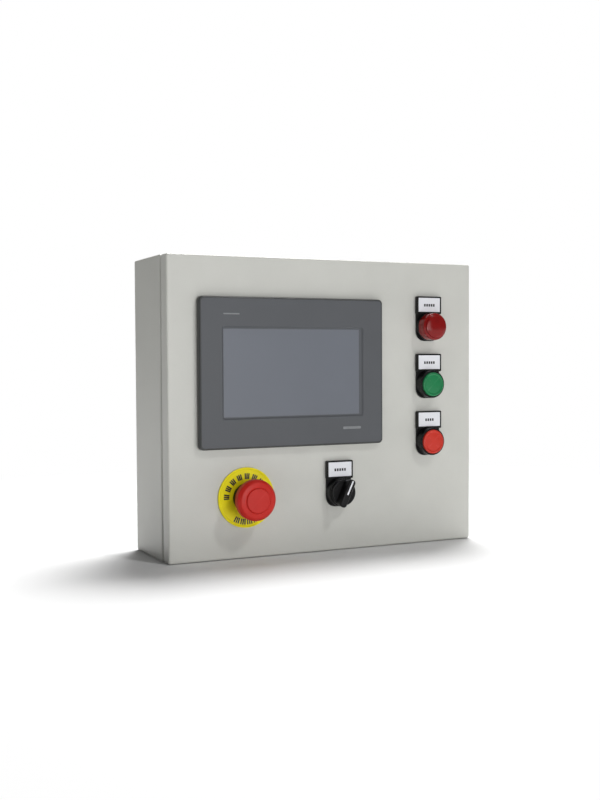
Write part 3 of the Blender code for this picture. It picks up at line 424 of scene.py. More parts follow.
def finish(name, colour, roughness, vary=0.06, blotch=0.035, grain=0.0005, depth=0.00002, uneven=0.08,
           wear=0.0, stretch=(1, 1, 1), pores=False, **sockets):
    """A procedural finish. vary and blotch are the strength and size of the variation in colour, grain and
    depth the size and height of the surface texture, uneven the change of gloss, wear the paler edges."""
    made = bpy.data.materials.new(name)
    made.use_nodes = True
    tree = made.node_tree
    shader = tree.nodes["Principled BSDF"]
    for socket, value in sockets.items():
        shader.inputs[socket.replace("_", " ")].default_value = value
    place = node(tree, "TexCoord").outputs["Object"]
    drawn = node(tree, "Mapping", {"Vector": place, "Scale": stretch}).outputs["Vector"]
    cloud = node(tree, "TexNoise", {"Vector": place, "Scale": 1 / blotch, "Detail": 5.0, "Roughness": 0.6})
    fleck = node(tree, "TexNoise", {"Vector": drawn, "Scale": 1 / grain, "Detail": 3.0, "Roughness": 0.55})
    tone = node(tree, "Mix", {6: shaded(colour, 1 - vary), 7: shaded(colour, 1 + vary)}, data_type="RGBA")
    spread = node(tree, "MapRange", {"Value": cloud.outputs["Fac"], "From Min": 0.3, "From Max": 0.7})
    tree.links.new(spread.outputs["Result"], tone.inputs["Factor"])
    speck = node(tree, "MapRange", {"Value": fleck.outputs["Fac"], "From Min": 0.35, "From Max": 0.65,
                                    "To Min": 1 - vary * 0.7, "To Max": 1 + vary * 0.7})
    mottled = node(tree, "VectorMath", {0: tone.outputs[2], "Scale": speck.outputs["Result"]},
                   operation="SCALE")
    base = mottled.outputs["Vector"]
    if wear:
        point = node(tree, "NewGeometry").outputs["Pointiness"]
        edge = node(tree, "MapRange", {"Value": point, "From Min": 0.52, "From Max": 0.62, "To Max": wear})
        rub = node(tree, "Math", {0: edge.outputs["Result"], 1: spread.outputs["Result"]},
                   operation="MULTIPLY")
        paler = node(tree, "Mix", {"Factor": rub.outputs[0], 6: base,
                                   7: shaded([c + 0.12 for c in colour], 1.15)},
                     data_type="RGBA")
        base = paler.outputs[2]
    tree.links.new(base, shader.inputs["Base Color"])
    gloss = node(tree, "MapRange", {"Value": cloud.outputs["Fac"], "From Min": 0.3, "From Max": 0.7,
                                    "To Min": roughness * (1 - uneven), "To Max": roughness * (1 + uneven)})
    tree.links.new(gloss.outputs["Result"], shader.inputs["Roughness"])
    height = fleck.outputs["Fac"]
    if pores:
        cells = node(tree, "TexVoronoi", {"Vector": place, "Scale": 1 / grain})
        height = cells.outputs["Distance"]
    bump = node(tree, "Bump", {"Height": height, "Distance": depth, "Strength": 1.0})
    tree.links.new(bump.outputs["Normal"], shader.inputs["Normal"])
    return made


def glow_white_away_from_body(material):
    """Mixes a white glow into a floor, more of it away from the object, so that it meets a white room:
    painted light that lifts and hides the shadows on the floor from FADE_NEAR out.
    """
    tree = material.node_tree
    shader = tree.nodes["Principled BSDF"]
    place = node(tree, "TexCoord").outputs["Object"]
    out = node(tree, "VectorMath", {0: place}, operation="ABSOLUTE").outputs["Vector"]
    edge = (HALF_X, BODY_FRONT + DOOR_GAP, 10.0)
    beyond = node(tree, "VectorMath", {0: out, 1: edge}, operation="SUBTRACT").outputs["Vector"]
    positive = node(tree, "VectorMath", {0: beyond, 1: (0, 0, 0)}, operation="MAXIMUM").outputs["Vector"]
    away = node(tree, "VectorMath", {0: positive}, operation="LENGTH").outputs["Value"]
    share = node(tree, "MapRange", {"Value": away, "From Min": FADE_NEAR, "From Max": FADE_FAR})
    # painted light: the floor glows white, in full from FADE_FAR out
    white = node(tree, "Emission", {"Color": (1, 1, 1, 1)})
    mixed = node(tree, "MixShader", {0: share.outputs["Result"], 1: shader.outputs[0], 2: white.outputs[0]})
    tree.links.new(mixed.outputs[0], tree.nodes["Material Output"].inputs["Surface"])


FINISH = {
    "paint": finish("light_grey_powder_coat", (0.56, 0.562, 0.525), 0.42, vary=0.018, blotch=0.06,
        grain=0.0011, depth=0.00003, wear=0.25),
    "door_paint": finish("light_grey_powder_coat_door", (0.56, 0.562, 0.525), 0.42, vary=0.018,
        blotch=0.07, grain=0.0011, depth=0.00003, wear=0.25),
    "zinc": finish("zinc_plated_steel", (0.6, 0.61, 0.6), 0.36, vary=0.1, blotch=0.012, grain=0.0009,
        depth=0.00001, uneven=0.25, Metallic=1.0),
    "steel": finish("bright_steel", (0.55, 0.55, 0.56), 0.28, blotch=0.01, grain=0.0004,
        depth=0.00001, stretch=(1, 1, 14), uneven=0.3, Metallic=1.0),
    "bezel": finish("slate_grey_film", (0.084, 0.089, 0.098), 0.5, vary=0.035, blotch=0.05, grain=0.00035,
        depth=0.000008, uneven=0.06, Specular_IOR_Level=0.4),
    "frame": finish("dark_grey_frame", (0.036, 0.038, 0.039), 0.42, blotch=0.03, grain=0.0004,
        depth=0.000012, wear=0.12),
    "case": finish("dark_grey_case", (0.05, 0.052, 0.055), 0.5, vary=0.07, grain=0.0006, depth=0.00003),
    "screen": finish("touch_film", (0.13, 0.143, 0.17), 0.42, vary=0.025, blotch=0.09, grain=0.0002,
        depth=0.000002, uneven=0.04),
    "rubber": finish("black_foam_rubber", (0.022, 0.022, 0.022), 0.88, vary=0.25, grain=0.0006,
        depth=0.0001, pores=True),
    "moulding": finish("grey_moulding", (0.27, 0.28, 0.28), 0.48, vary=0.05),
    "black": finish("black_plastic", (0.0052, 0.0052, 0.0056), 0.36, vary=0.12, blotch=0.02, grain=0.0004,
        depth=0.00001, uneven=0.2, wear=0.03, Specular_IOR_Level=0.2),
    "block": finish("contact_block_grey", (0.115, 0.115, 0.118), 0.45),
    "white": finish("white_legend", (0.78, 0.79, 0.83), 0.34, vary=0.015, blotch=0.01, grain=0.0003,
        depth=0.000004),
    "ink": finish("black_ink", (0.014, 0.014, 0.015), 0.45, vary=0.2, blotch=0.004, grain=0.0002,
        depth=0.000004),
    "pale_ink": finish("pale_ink", (0.2, 0.21, 0.22), 0.45, vary=0.1, blotch=0.004, grain=0.0002,
        depth=0.000004),
    "green": finish("green_button", (0.006, 0.185, 0.06), 0.32, vary=0.05, blotch=0.012,
        depth=0.000006, uneven=0.2, wear=0.2, Specular_IOR_Level=0.35),
    "red": finish("red_button", (0.54, 0.026, 0.012), 0.32, vary=0.05, blotch=0.012,
        depth=0.000006, uneven=0.2, wear=0.2, Specular_IOR_Level=0.35),
    "stop_red": finish("estop_red", (0.53, 0.018, 0.012), 0.42, vary=0.05, blotch=0.02,
        depth=0.00001, uneven=0.15, wear=0.08, Specular_IOR_Level=0.25),
    "yellow": finish("yellow_legend", (0.88, 0.77, 0.01), 0.38, vary=0.035, blotch=0.015,
        depth=0.000008, wear=0.2, Specular_IOR_Level=0.2),
    "lens": finish("red_lens", (0.36, 0.012, 0.012), 0.14, vary=0.08, blotch=0.006, grain=0.0012,
                   uneven=0.2, Transmission_Weight=0.45, IOR=1.45, Specular_IOR_Level=0.2),
    "earth": finish("green_and_yellow", (0.3, 0.42, 0.02), 0.42, vary=0.05, depth=0.00001),
    "diffuser": finish("red_diffuser", (0.17, 0.01, 0.012), 0.2, vary=0.2, blotch=0.003,
        depth=0.000006, uneven=0.3, Specular_IOR_Level=0.5),
    "copper": finish("copper", (0.7, 0.36, 0.2), 0.3, vary=0.08, blotch=0.006, grain=0.0004,
        depth=0.00001, Metallic=1.0),
    "green_circuit": finish("green_connector", (0.035, 0.2, 0.085), 0.42, vary=0.05,
        depth=0.00001),
    "floor": finish("pale_floor", (0.86, 0.86, 0.86), 0.75, vary=0.004, blotch=0.8, grain=0.004,
        depth=0.00005),
}
glow_white_away_from_body(FINISH["floor"])


# The body of the enclosure
def enclosure_shell():
    shell = block((-HALF_X, -BODY_FRONT, -HALF_Z), (HALF_X, 0, HALF_Z), FOLD, 6)
    lip = (2 * (HALF_X - LIP_SETBACK), 2 * (HALF_Z - LIP_SETBACK))
    mouth = (lip[0] - 2 * SHEET, lip[1] - 2 * SHEET)
    rim = facing(pad(*lip, 0.003, BODY_FRONT / 2, LIP_FRONT, 0.0006), front=0)
    inside = block(
        (-HALF_X + SHEET, -BODY_FRONT + SHEET, -HALF_Z + SHEET), (HALF_X - SHEET, -SHEET, HALF_Z - SHEET),
        FOLD - SHEET, 2,
    )
    opening = facing(slab(*mouth, 0.0018, BODY_FRONT / 2, FRONT), front=0)
    holes, dimples = [], []
    for x, z in CORNERS:
        centre = (x * (HALF_X - WALL_HOLE_SETBACK), z * (HALF_Z - WALL_HOLE_SETBACK))
        holes.append(facing(rod(WALL_HOLE, -PAST, PAST, centre=centre), front=0))
        dimples.append(facing(rod(STUD_SHOULDER, -PAST, 0.00012, centre=stud_place(x, z)), front=0))
    low, _, middle = box_of("gland_plate")
    floor_hole = slab(*GLAND, 0.002, -HALF_Z - PAST, low.z - SHEET, 0, (middle.x, middle.y))
    housing = box_of("lock_housing")
    lock_hole = along_x(rod((housing[1].z - housing[0].z) / 2 - 0.003 + GAP, -PAST, PAST, sides=64),
                        (HALF_X, housing[2].y, housing[2].z))
    plate_low, plate_high, _ = box_of("mounting_plate")
    nut_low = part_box("plate_nut_1")[0].y
    profile = [(0, SHEET / 2), (STUD_SHOULDER, SHEET / 2), (STUD_SHOULDER, -plate_high.y - GAP)]
    profile += [(STUD, -plate_high.y - GAP), (STUD, -plate_low.y + GAP)]
    profile += thread(STUD, STUD - 0.0004, -plate_low.y + GAP, -nut_low + 0.003, 0.001)
    profile += [(STUD - 0.0006, -nut_low + 0.0036), (0, -nut_low + 0.0036)]
    studs = [facing(turned(profile, 24, stud_place(x, z)), front=0) for x, z in CORNERS]
    body = carved(
        shell, ("UNION", rim), ("DIFFERENCE", inside), ("DIFFERENCE", opening),
        ("DIFFERENCE", together(holes)), ("DIFFERENCE", together(dimples)),
        ("DIFFERENCE", together([floor_hole, lock_hole])), ("UNION", together(studs)),
    )
    piece("enclosure_shell", body, "enclosure", "paint", ["enclosure_body"])


def stud_place(side_x, side_z):
    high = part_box("mounting_plate")[1]
    return side_x * (high.x - 0.012), side_z * (high.z - 0.012)


# The door
def door_shell():
    low, high, _ = box_of("door_panel")
    shell = block(low, high)
    folds = [e for e in shell.edges if not all(abs(v.co.y - high.y) < GAP for v in e.verts)]
    bmesh.ops.bevel(shell, geom=folds, offset=FOLD, segments=6, profile=0.5, affect="EDGES")
    inside = block(
        (low.x + SHEET, low.y + SHEET, low.z + SHEET), (high.x - SHEET, PAST, high.z - SHEET), FOLD - SHEET, 2
    )
    wide, tall, _, _, bezel = door_box("hmi_bezel")
    size = (wide - 2 * HMI_FLANGE, tall - 2 * HMI_FLANGE)
    cuts = [facing(slab(*size, 0.003, FRONT - PAST, FRONT + PAST, 0, bezel), front=0)]
    for name in STATIONS:
        at = door_box(f"{name}_body")[4]
        cuts.append(facing(rod(STATION_HOLE, FRONT - PAST, FRONT + PAST, centre=at), front=0))
    door = cut(shell, inside, together(cuts))
    piece("door_shell", door, "door", "door_paint", ["door_panel"])


def door_seal():
    """A foamed bead: flat against the door, domed towards the body."""
    low, high, middle = box_of("door_gasket")
    wide, tall = high.x - low.x, high.z - low.z
    across = 0.01
    thick = high.y - low.y
    profile = [(0, 0, 0.0004), (across, 0, 0.0004), (across * 0.93, thick, 0.0026),
               (across * 0.07, thick, 0.0026)]
    profile = soften(profile, 5)
    rings = [rounded(wide, tall, 0.013, -low.y - y, x, (middle.x, middle.z), 10) for x, y in profile]
    piece("door_seal", facing(loft(rings, closed=True), front=0), "door", "rubber", ["door_gasket"],
          crease=50)


STATIONS = ("pilot", "start", "stop", "selector", "estop")


# The operator panel
def operator_panel():
    wide, tall, rear, proud, at = door_box("hmi_bezel")
    pocket_top = proud - HMI_FRONT_WALL
    top = proud - 0.0003
    levels = [(rear, 0.0006), (rear + 0.0006, 0.0), (proud - 0.0024, 0.0), (proud - 0.0015, 0.0002),
              (proud - 0.0008, 0.0006), (top, HMI_CHAMFER)]
    solid = loft([rounded(wide, tall, HMI_CORNER, h, inset) for h, inset in levels])
    pocket = slab(wide - 2 * HMI_FLANGE + 0.001, tall - 2 * HMI_FLANGE + 0.0014, 0.003, -PAST, pocket_top)
    hole = (RECESS[0] + 0.0008, RECESS[1] + 0.0008)
    window = slab(*hole, 0.0026, -PAST, proud + PAST)
    frame_mesh = cut(solid, pocket, window)
    on_door("hmi_bezel_frame", frame_mesh, at, "frame", ["hmi_bezel"])

    glass_top = proud - GLASS_DEPTH
    outer = (wide - 2 * FILM_INSET, tall - 2 * FILM_INSET)
    corner = HMI_CORNER - FILM_INSET / 2
    face = [
        (RECESS[0] + 0.0006, RECESS[1] + 0.0006, 0.0024, pocket_top + 0.00005),
        (RECESS[0] + 0.0006, RECESS[1] + 0.0006, 0.0024, top - 0.0002),
        (*outer, corner, top - 0.0002),
        (*outer, corner, proud - 0.00015),
        (outer[0] - 0.0003, outer[1] - 0.0003, corner, proud),
        (RECESS[0] + 0.0003, RECESS[1] + 0.0003, 0.0024, proud),
        (*RECESS, 0.0022, proud - 0.00015),
        (*WINDOW, 0.0014, glass_top),
    ]
    film = loft([rounded(w, t, r, h, 0, (0, 0), 8) for w, t, r, h in face])
    on_door("hmi_front_film", film, at, "bezel")
    bars = [pad(*size, size[1] * 0.3, proud + LIFT, proud + 0.00006, 0.00002, place, False, 1)
            for size, place in FRONT_BARS]
    on_door("hmi_front_bars", together(bars), at, "pale_ink")

    wide, tall, rear, front, touch_at = door_box("hmi_touch_screen")
    sheet = pad(wide, tall, 0.001, rear, front, 0.0001)
    on_door("hmi_touch_film", sheet, touch_at, "bezel", ["hmi_touch_screen"], slot="touch_film")
    lit = pad(*SCREEN, 0.0004, glass_top + LIFT, glass_top + 0.0001, 0.00004, (SCREEN_SHIFT, 0))
    on_door("hmi_screen_area", lit, at, "screen")


# Generic marks in place of words: a row of plain blocks
def marks(count, size, pitch, height, thick=0.00006, centre=(0.0, 0.0)):
    places = [(centre[0] + x, centre[1]) for x in row(count, pitch)]
    return together([pad(*size, 0.0003, height, height + thick, 0.00002, place, False, 1)
                     for place in places])


# 22 mm controls
def holder(name, count):
    at = door_box(f"{name}_body")[4]
    wide, tall, _, _, holder_at = door_box(f"{name}_holder")
    top = holder_at[1] - at[1] + tall / 2
    plate_tall = tall - 2 * GAP
    plate = pad(wide - 4 * GAP, plate_tall, (0.01, 0.01, 0.0006, 0.0006), GAP, GAP + HOLDER_PLATE, 0.0005,
                (0, top - tall / 2))
    front = pad(wide, HOLDER_FRAME_TALL, 0.0011, 2 * GAP, HOLDER_THICK, 0.0006,
                (0, top - HOLDER_FRAME_TALL / 2))
    *size, card_back, face, card_at = door_box(f"{name}_label")
    card_middle = (0, card_at[1] - at[1])
    steps = [(card_back - GAP, 0.0002), (HOLDER_THICK - 0.0005, 0.0002), (HOLDER_THICK + 0.001, -0.0004)]
    pocket = loft([rounded(*size, 0.0006, h, inset - 0.0003, card_middle) for h, inset in steps])
    relief = rod(RING + 2 * GAP, GAP + HOLDER_PLATE, 0.02, sides=SMOOTH)
    hole = rod(STATION_HOLE, -PAST, 0.02, sides=SMOOTH)
    form = carved(plate, ("UNION", front), ("DIFFERENCE", pocket), ("DIFFERENCE", relief),
                  ("DIFFERENCE", hole))
    on_door(f"{name}_label_holder", form, at, "black", [f"{name}_holder"])
    sheet = pad(*size, 0.0005, card_back, face, 0.0001, card_middle)
    on_door(f"{name}_label_card", sheet, at, "white", [f"{name}_label"])
    ink = marks(count, (0.002, 0.0028), 0.0028, face + LIFT, centre=(0, card_middle[1] - 0.0004))
    on_door(f"{name}_label_marks", ink, at, "ink")


def threaded_body(name, seat, proud, bore, cup=0.0, cup_floor=0.0, chamfer=0.0009):
    """The ring in front of the door and the threaded barrel through it."""
    profile = [(bore, BARREL_BACK), (THREAD_ROOT - 0.0004, BARREL_BACK)]
    profile += thread(BARREL, THREAD_ROOT, BARREL_BACK + 0.0006, -0.0022, THREAD_PITCH)
    profile += [(BARREL, -0.0016), (BARREL, seat + GAP)]
    outline = [(RING, seat + GAP, 0.0003), (RING, proud, chamfer), (cup or bore, proud, 0.0003)]
    if cup:
        outline += [(cup, cup_floor, 0.0002)]
    ring = soften([(BARREL - 0.001, seat + GAP, 0), *outline, (bore, cup_floor if cup else BARREL_BACK, 0)],
                  4)
    profile += ring[1:] if cup else ring[1:-1]
    on_door(f"{name}_ring_and_barrel", turned(profile), door_box(f"{name}_body")[4], "black",
            [f"{name}_body"])


def push_button(name, colour, count):
    holder(name, count)
    floor = CAP_BACK - 0.0043
    threaded_body(name, GAP + HOLDER_PLATE, RING_PROUD, STEM + GAP, CAP + GAP, floor)
    profile = soften(
        [
            (0, STEM_BACK, 0), (STEM, STEM_BACK, 0.0003), (STEM, CAP_BACK, 0.0003), (CAP, CAP_BACK, 0.0002),
            (CAP, CAP_FACE, 0.0012), (CAP - 0.0018, CAP_FACE, 0.0005),
            (CAP - 0.0028, CAP_FACE - 0.00085, 0.0006),
            (CAP * 0.4, CAP_FACE - 0.00055, 0.003), (0, CAP_FACE - 0.0005, 0),
        ],
        4,
    )
    cap = facing(turned(profile), *door_box(f"{name}_body")[4])
    piece(f"{name}_cap", cap, f"{name}_cap", colour, [f"{name}_button"])


def pilot_light():
    at = door_box("pilot_body")[4]
    holder("pilot", 5)
    threaded_body("pilot", GAP + HOLDER_PLATE, LENS_SEAT - GAP, 0.0075, chamfer=0.0006)
    wall = 0.0014
    step = 0.0118
    outer = soften(
        [(LENS - wall, LENS_SEAT, 0.0002), (LENS, LENS_SEAT, 0.0002), (LENS, LENS_RIM - 0.0002, 0.0012),
         (step + 0.0003, LENS_RIM + 0.0009, 0.0002), (step - 0.0001, LENS_RIM + 0.0014, 0.0002)], 4)
    rise = LENS_TOP - LENS_RIM - 0.0014
    dome = [(step * math.cos(a), LENS_RIM + 0.0014 + rise * math.sin(a))
            for a in (math.pi / 2 * s / 10 for s in range(1, 10))]
    inner_top = LENS_TOP - wall
    rings = []
    for number in range(9):
        r = (step - 0.0006) * number / 9
        drop = 0.0026 * (number / 9) ** 2
        rings += [(r, inner_top - drop), (r + 0.0011, inner_top - drop - 0.0007)]
    profile = outer + dome + [(0, LENS_TOP), (0, inner_top)] + rings[1:] + [(LENS - wall, LENS_RIM - 0.002)]
    on_door("pilot_lens_cover", turned(profile), at, "lens", ["pilot_lens"])
    prisms = turned(
        [(0, LENS_SEAT + 0.0005), (0.0118, LENS_SEAT + 0.0005), (0.0118, LENS_RIM - 0.0035),
         (0.0104, LENS_RIM - 0.0022),
         (0.009, LENS_RIM - 0.003), (0.0076, LENS_RIM - 0.0016), (0.0062, LENS_RIM - 0.0026),
         (0.0048, LENS_RIM - 0.0012), (0.0034, LENS_RIM - 0.0022), (0.002, LENS_RIM - 0.001),
         (0, LENS_RIM - 0.0018)],
        144, ripple=lambda a, r: r - 0.0007 * (0.5 - 0.5 * math.cos(24 * a)) * min(1.0, r / 0.008),
    )
    on_door("pilot_diffuser", prisms, at, "diffuser")


def selector_switch():
    at = door_box("selector_body")[4]
    holder("selector", 5)
    threaded_body("selector", GAP + HOLDER_PLATE, KNOB_SEAT - GAP, STEM + GAP)
    disc = turned(soften([(0, STEM_BACK, 0), (STEM, STEM_BACK, 0.0003), (STEM, KNOB_SEAT, 0.0003),
                          (KNOB, KNOB_SEAT, 0.0003),
                          (KNOB, KNOB_FACE, 0.0009), (KNOB - 0.0022, KNOB_FACE, 0.0004),
                          (KNOB - 0.0028, KNOB_FACE - 0.0005, 0.0004), (0, KNOB_FACE - 0.0005, 0)], 4))
    wide, long = HANDLE
    base = KNOB_SEAT + 0.0017
    levels = [(base, wide + 0.0006, long - 0.003, 0), (KNOB_FACE + 0.004, wide, long - 0.001, 0)]
    levels += [(HANDLE_TOP - 0.0016, wide - 0.0006, long, 0)]
    for s in range(1, 6):
        lean = math.pi / 2 * s / 5
        levels.append((HANDLE_TOP - 0.0016 * (1 - math.sin(lean)), wide - 0.0006, long,
                       0.0016 * (1 - math.cos(lean))))
    handle = loft([rounded(w, t, 0.0034, h, inset, steps=8) for h, w, t, inset in levels])
    knob = carved(disc, ("UNION", handle))
    piece("selector_handle", facing(knob, *at, turn=SELECTOR_TURN), "selector", "black", ["selector_knob"])
    length = long / 2 + 0.0003
    line = pad(0.0016, length, 0.0005, HANDLE_TOP + LIFT, HANDLE_TOP + 0.00012, 0.00005,
               (-0.0002, length / 2 - 0.0015), False, 2)
    piece("selector_pointer", facing(line, *at, turn=SELECTOR_TURN), "selector", "white")


def emergency_stop():
    at = door_box("estop_body")[4]
    disc = soften([(STATION_HOLE, GAP, 0), (DISC, GAP, 0.0002), (DISC, DISC_FACE + 0.0005, 0.0005),
                   (DISC - 0.0016, DISC_FACE + 0.0005, 0.0005), (DISC - 0.0024, DISC_FACE, 0.0005),
                   (STATION_HOLE, DISC_FACE, 0.0002)], 4)
    on_door("estop_yellow_disc", turned(disc, 128), at, "yellow", ["estop_legend_disc"])
    arcs = []
    places = [(176 - 22 * n, 0.0213) for n in range(9)] + [(244.5 + 16.5 * n, 0.024) for n in range(4)]
    for degrees, radius in places:
        for bar in (-1, 0, 1):
            mark = pad(0.00142, 0.0058, 0.0003, DISC_FACE + LIFT, DISC_FACE + 0.00008, 0.00003, (0, radius),
                       False, 1)
            mark.transform(Matrix.Rotation(math.radians(degrees - 90 + bar * MARK_STEP), 4, "Z"))
            arcs.append(mark)
    on_door("estop_disc_marks", together(arcs), at, "ink")
    threaded_body("estop", DISC_FACE, RING_PROUD, 0.0073)
    _, _, back, tip, _ = door_box("estop_plunger")
    shoulder = HEAD_BASE - GAP
    plunger = soften([(0, back, 0), (0.007, back, 0.0004), (0.007, shoulder, 0.0003), (0.005, shoulder, 0),
                      (0.005, tip, 0.0003), (0, tip, 0)], 3)
    piece("estop_stem_shaft", facing(turned(plunger, FINE), *at), "estop_stem", "black", ["estop_plunger"])
    head = soften(
        [
            (0.0053, HEAD_BASE, 0), (0.016, HEAD_BASE, 0.0006), (0.0188, HEAD_BASE + 0.0012, 0.0014),
            (HEAD, HEAD_BASE + 0.0036, 0.0016), (HEAD, HEAD_TOP - 0.005, 0.0026),
            (0.0176, HEAD_TOP - 0.0019, 0.0026), (0.0132, HEAD_TOP - 0.0011, 0.0008),
            (0.0126, HEAD_TOP - 0.0016, 0.0002), (0.0122, HEAD_TOP - 0.0011, 0.0002),
            (0.0118, HEAD_TOP - 0.0001, 0.0007), (0.005, HEAD_TOP, 0.004), (0, HEAD_TOP, 0),
            (0, tip + GAP, 0), (0.0053, tip + GAP, 0),
        ],
        5,
    )
    piece("estop_mushroom_head", facing(turned(head), *at), "estop_mushroom", "stop_red", ["estop_head"],
          crease=50)


# Fasteners
def cross(arm, width):
    """The outline of a plus sign."""
    a, w = arm, width / 2
    return [(w, -a), (w, -w), (a, -w), (a, w), (w, w), (w, a), (-w, a), (-w, w), (-a, w), (-a, -w),
            (-w, -w), (-w, -a)]


def screw_heads(places, radius, low, high, slots=SCREW_SLOT):
    """Cross-headed screws at (x, y) places, seen from +Z, or from -Z where high lies below low."""
    heads, recesses = [], []
    up = 1 if high > low else -1
    for number, place in enumerate(places):
        profile = soften([(0, low, 0), (radius, low, 0), (radius, high, radius * 0.3), (0, high, 0)], 3)
        heads.append(turned(profile, 28, place))
        slot = prism(cross(radius * 0.62, slots), *sorted((high - up * radius * 0.35, high + up * 0.001)))
        slot.transform(Matrix.Rotation(0.5 + 1.1 * number, 4, "Z"))
        recesses.append(moved(slot, *place))
    return cut(together(heads), together(recesses))


def hexagon(across, low, high, bore=0.0, chamfer=0.0007):
    """A nut, or the head of a bolt when bore is 0, with its corners turned down at both ends."""
    corner = across / 2 / math.cos(math.pi / 6)
    blank = turned([(0, low), (corner, low), (corner, high), (0, high)], 6)
    keep = turned(
        [(0, low), (across / 2, low), (corner, low + chamfer), (corner, high - chamfer), (across / 2, high),
         (0, high)],
        FINE,
    )
    changes = [("INTERSECT", keep)]
    if bore:
        changes.append(("DIFFERENCE", rod(bore, low - PAST, high + PAST)))
    return carved(blank, *changes)


def earth_bolt(name, x, z, seat, body, reach):
    """A stud with a washer and a nut on it; reach is its length, negative where it points inwards."""
    way = 1 if reach > 0 else -1
    step = way * 0.001
    root = STUD - 0.0004
    count = int(abs(reach) / 0.001) - 2
    profile = [(0, 0), (root, 0), (root, step)]
    for turn in range(count):
        profile += [(STUD, step * (turn + 1.5)), (root, step * (turn + 2))]
    profile += [(0, step * (count + 1))]
    stud = turned(profile, 24)
    washer = tube(STUD + GAP, 0.0062, *sorted((way * 0.0032, way * 0.0042)), 0.0003)
    nut = hexagon(0.01, *sorted((way * 0.0045, way * 0.009)), STUD + GAP)
    made = facing(together([stud, washer, nut]), x, z, seat)
    piece(name, made, body, "zinc")


# The mounting plate and what stands on it: local Z is the distance from the wall
def plate_and_nuts():
    low, high, middle = box_of("mounting_plate")
    sheet = pad(high.x - low.x, high.z - low.z, 0.01, -high.y, -low.y, 0.0004)
    holes = [rod(STUD + GAP, -high.y - 0.002, -low.y + 0.002, centre=stud_place(x, z)) for x, z in CORNERS]
    spare = [(x * 0.0355, side * 0.082) for x in (-3, -2, -1, 0, 1, 2, 3) for side in (-1, 1)]
    holes += [rod(0.0021, -high.y - 0.002, -low.y + 0.002, sides=24, centre=place) for place in spare]
    plate = cut(sheet, together(holes))
    on_wall("gear_plate", plate, (middle.x, middle.z), "zinc", ["mounting_plate"])
    for number in range(1, 5):
        nut_low, nut_high, nut = box_of(f"plate_nut_{number}")
        made = hexagon(0.01, -nut_high.y, -nut_low.y, STUD + GAP)
        on_wall(f"plate_nut_cut_{number}", made, (nut.x, nut.z), "zinc", [f"plate_nut_{number}"])
    earth_bolt("plate_earth_stud", 0.112, -0.094, -low.y, "enclosure", 0.014)


def rail():
    low, high, middle = box_of("din_rail")
    web, flange = 0.0125, (high.z - low.z) / 2
    back, front = high.y, low.y
    half = [
        (back, web, 0.0012), (front + RAIL_SHEET, web, 0.0002), (front + RAIL_SHEET, flange, 0.0002),
        (front, flange, 0.0002), (front, web - RAIL_SHEET, 0.0012),
        (back - RAIL_SHEET, web - RAIL_SHEET, 0.0002),
    ]
    outline = soften(half + [(y, -z, r) for y, z, r in reversed(half)], 3)
    length = high.x - low.x
    bar = along_x(prism(outline, -length / 2, length / 2), (0, 0, middle.z))
    count = int((length - 0.01) / RAIL_SLOT_PITCH)
    slots = [slab(0.015, 0.0062, 0.003, 0.01, 0.03, 0, (x, middle.z)) for x in row(count, RAIL_SLOT_PITCH)]
    made = cut(bar, facing(together(slots), front=0))
    piece("slotted_rail", made, "enclosure", "zinc", ["din_rail"])


def claws(x, wide, body_back):
    """The two claws of a rail-mounted device at x, in world Y and Z."""
    low, high, middle = box_of("din_rail")
    grip, end = low.y + RAIL_SHEET + GAP, low.y + RAIL_SHEET + 0.0015
    made = []
    for side in (1, -1):
        edge = middle.z + side * ((high.z - low.z) / 2 + GAP)
        tip = edge - side * 0.0018
        outer = edge + side * 0.0027
        root = body_back - 0.002
        claw = [(root, edge), (grip, edge), (grip, tip), (end, tip), (end, outer), (root, outer)]
        made.append(along_x(prism(claw, x - wide * 0.4, x + wide * 0.4)))
    return made


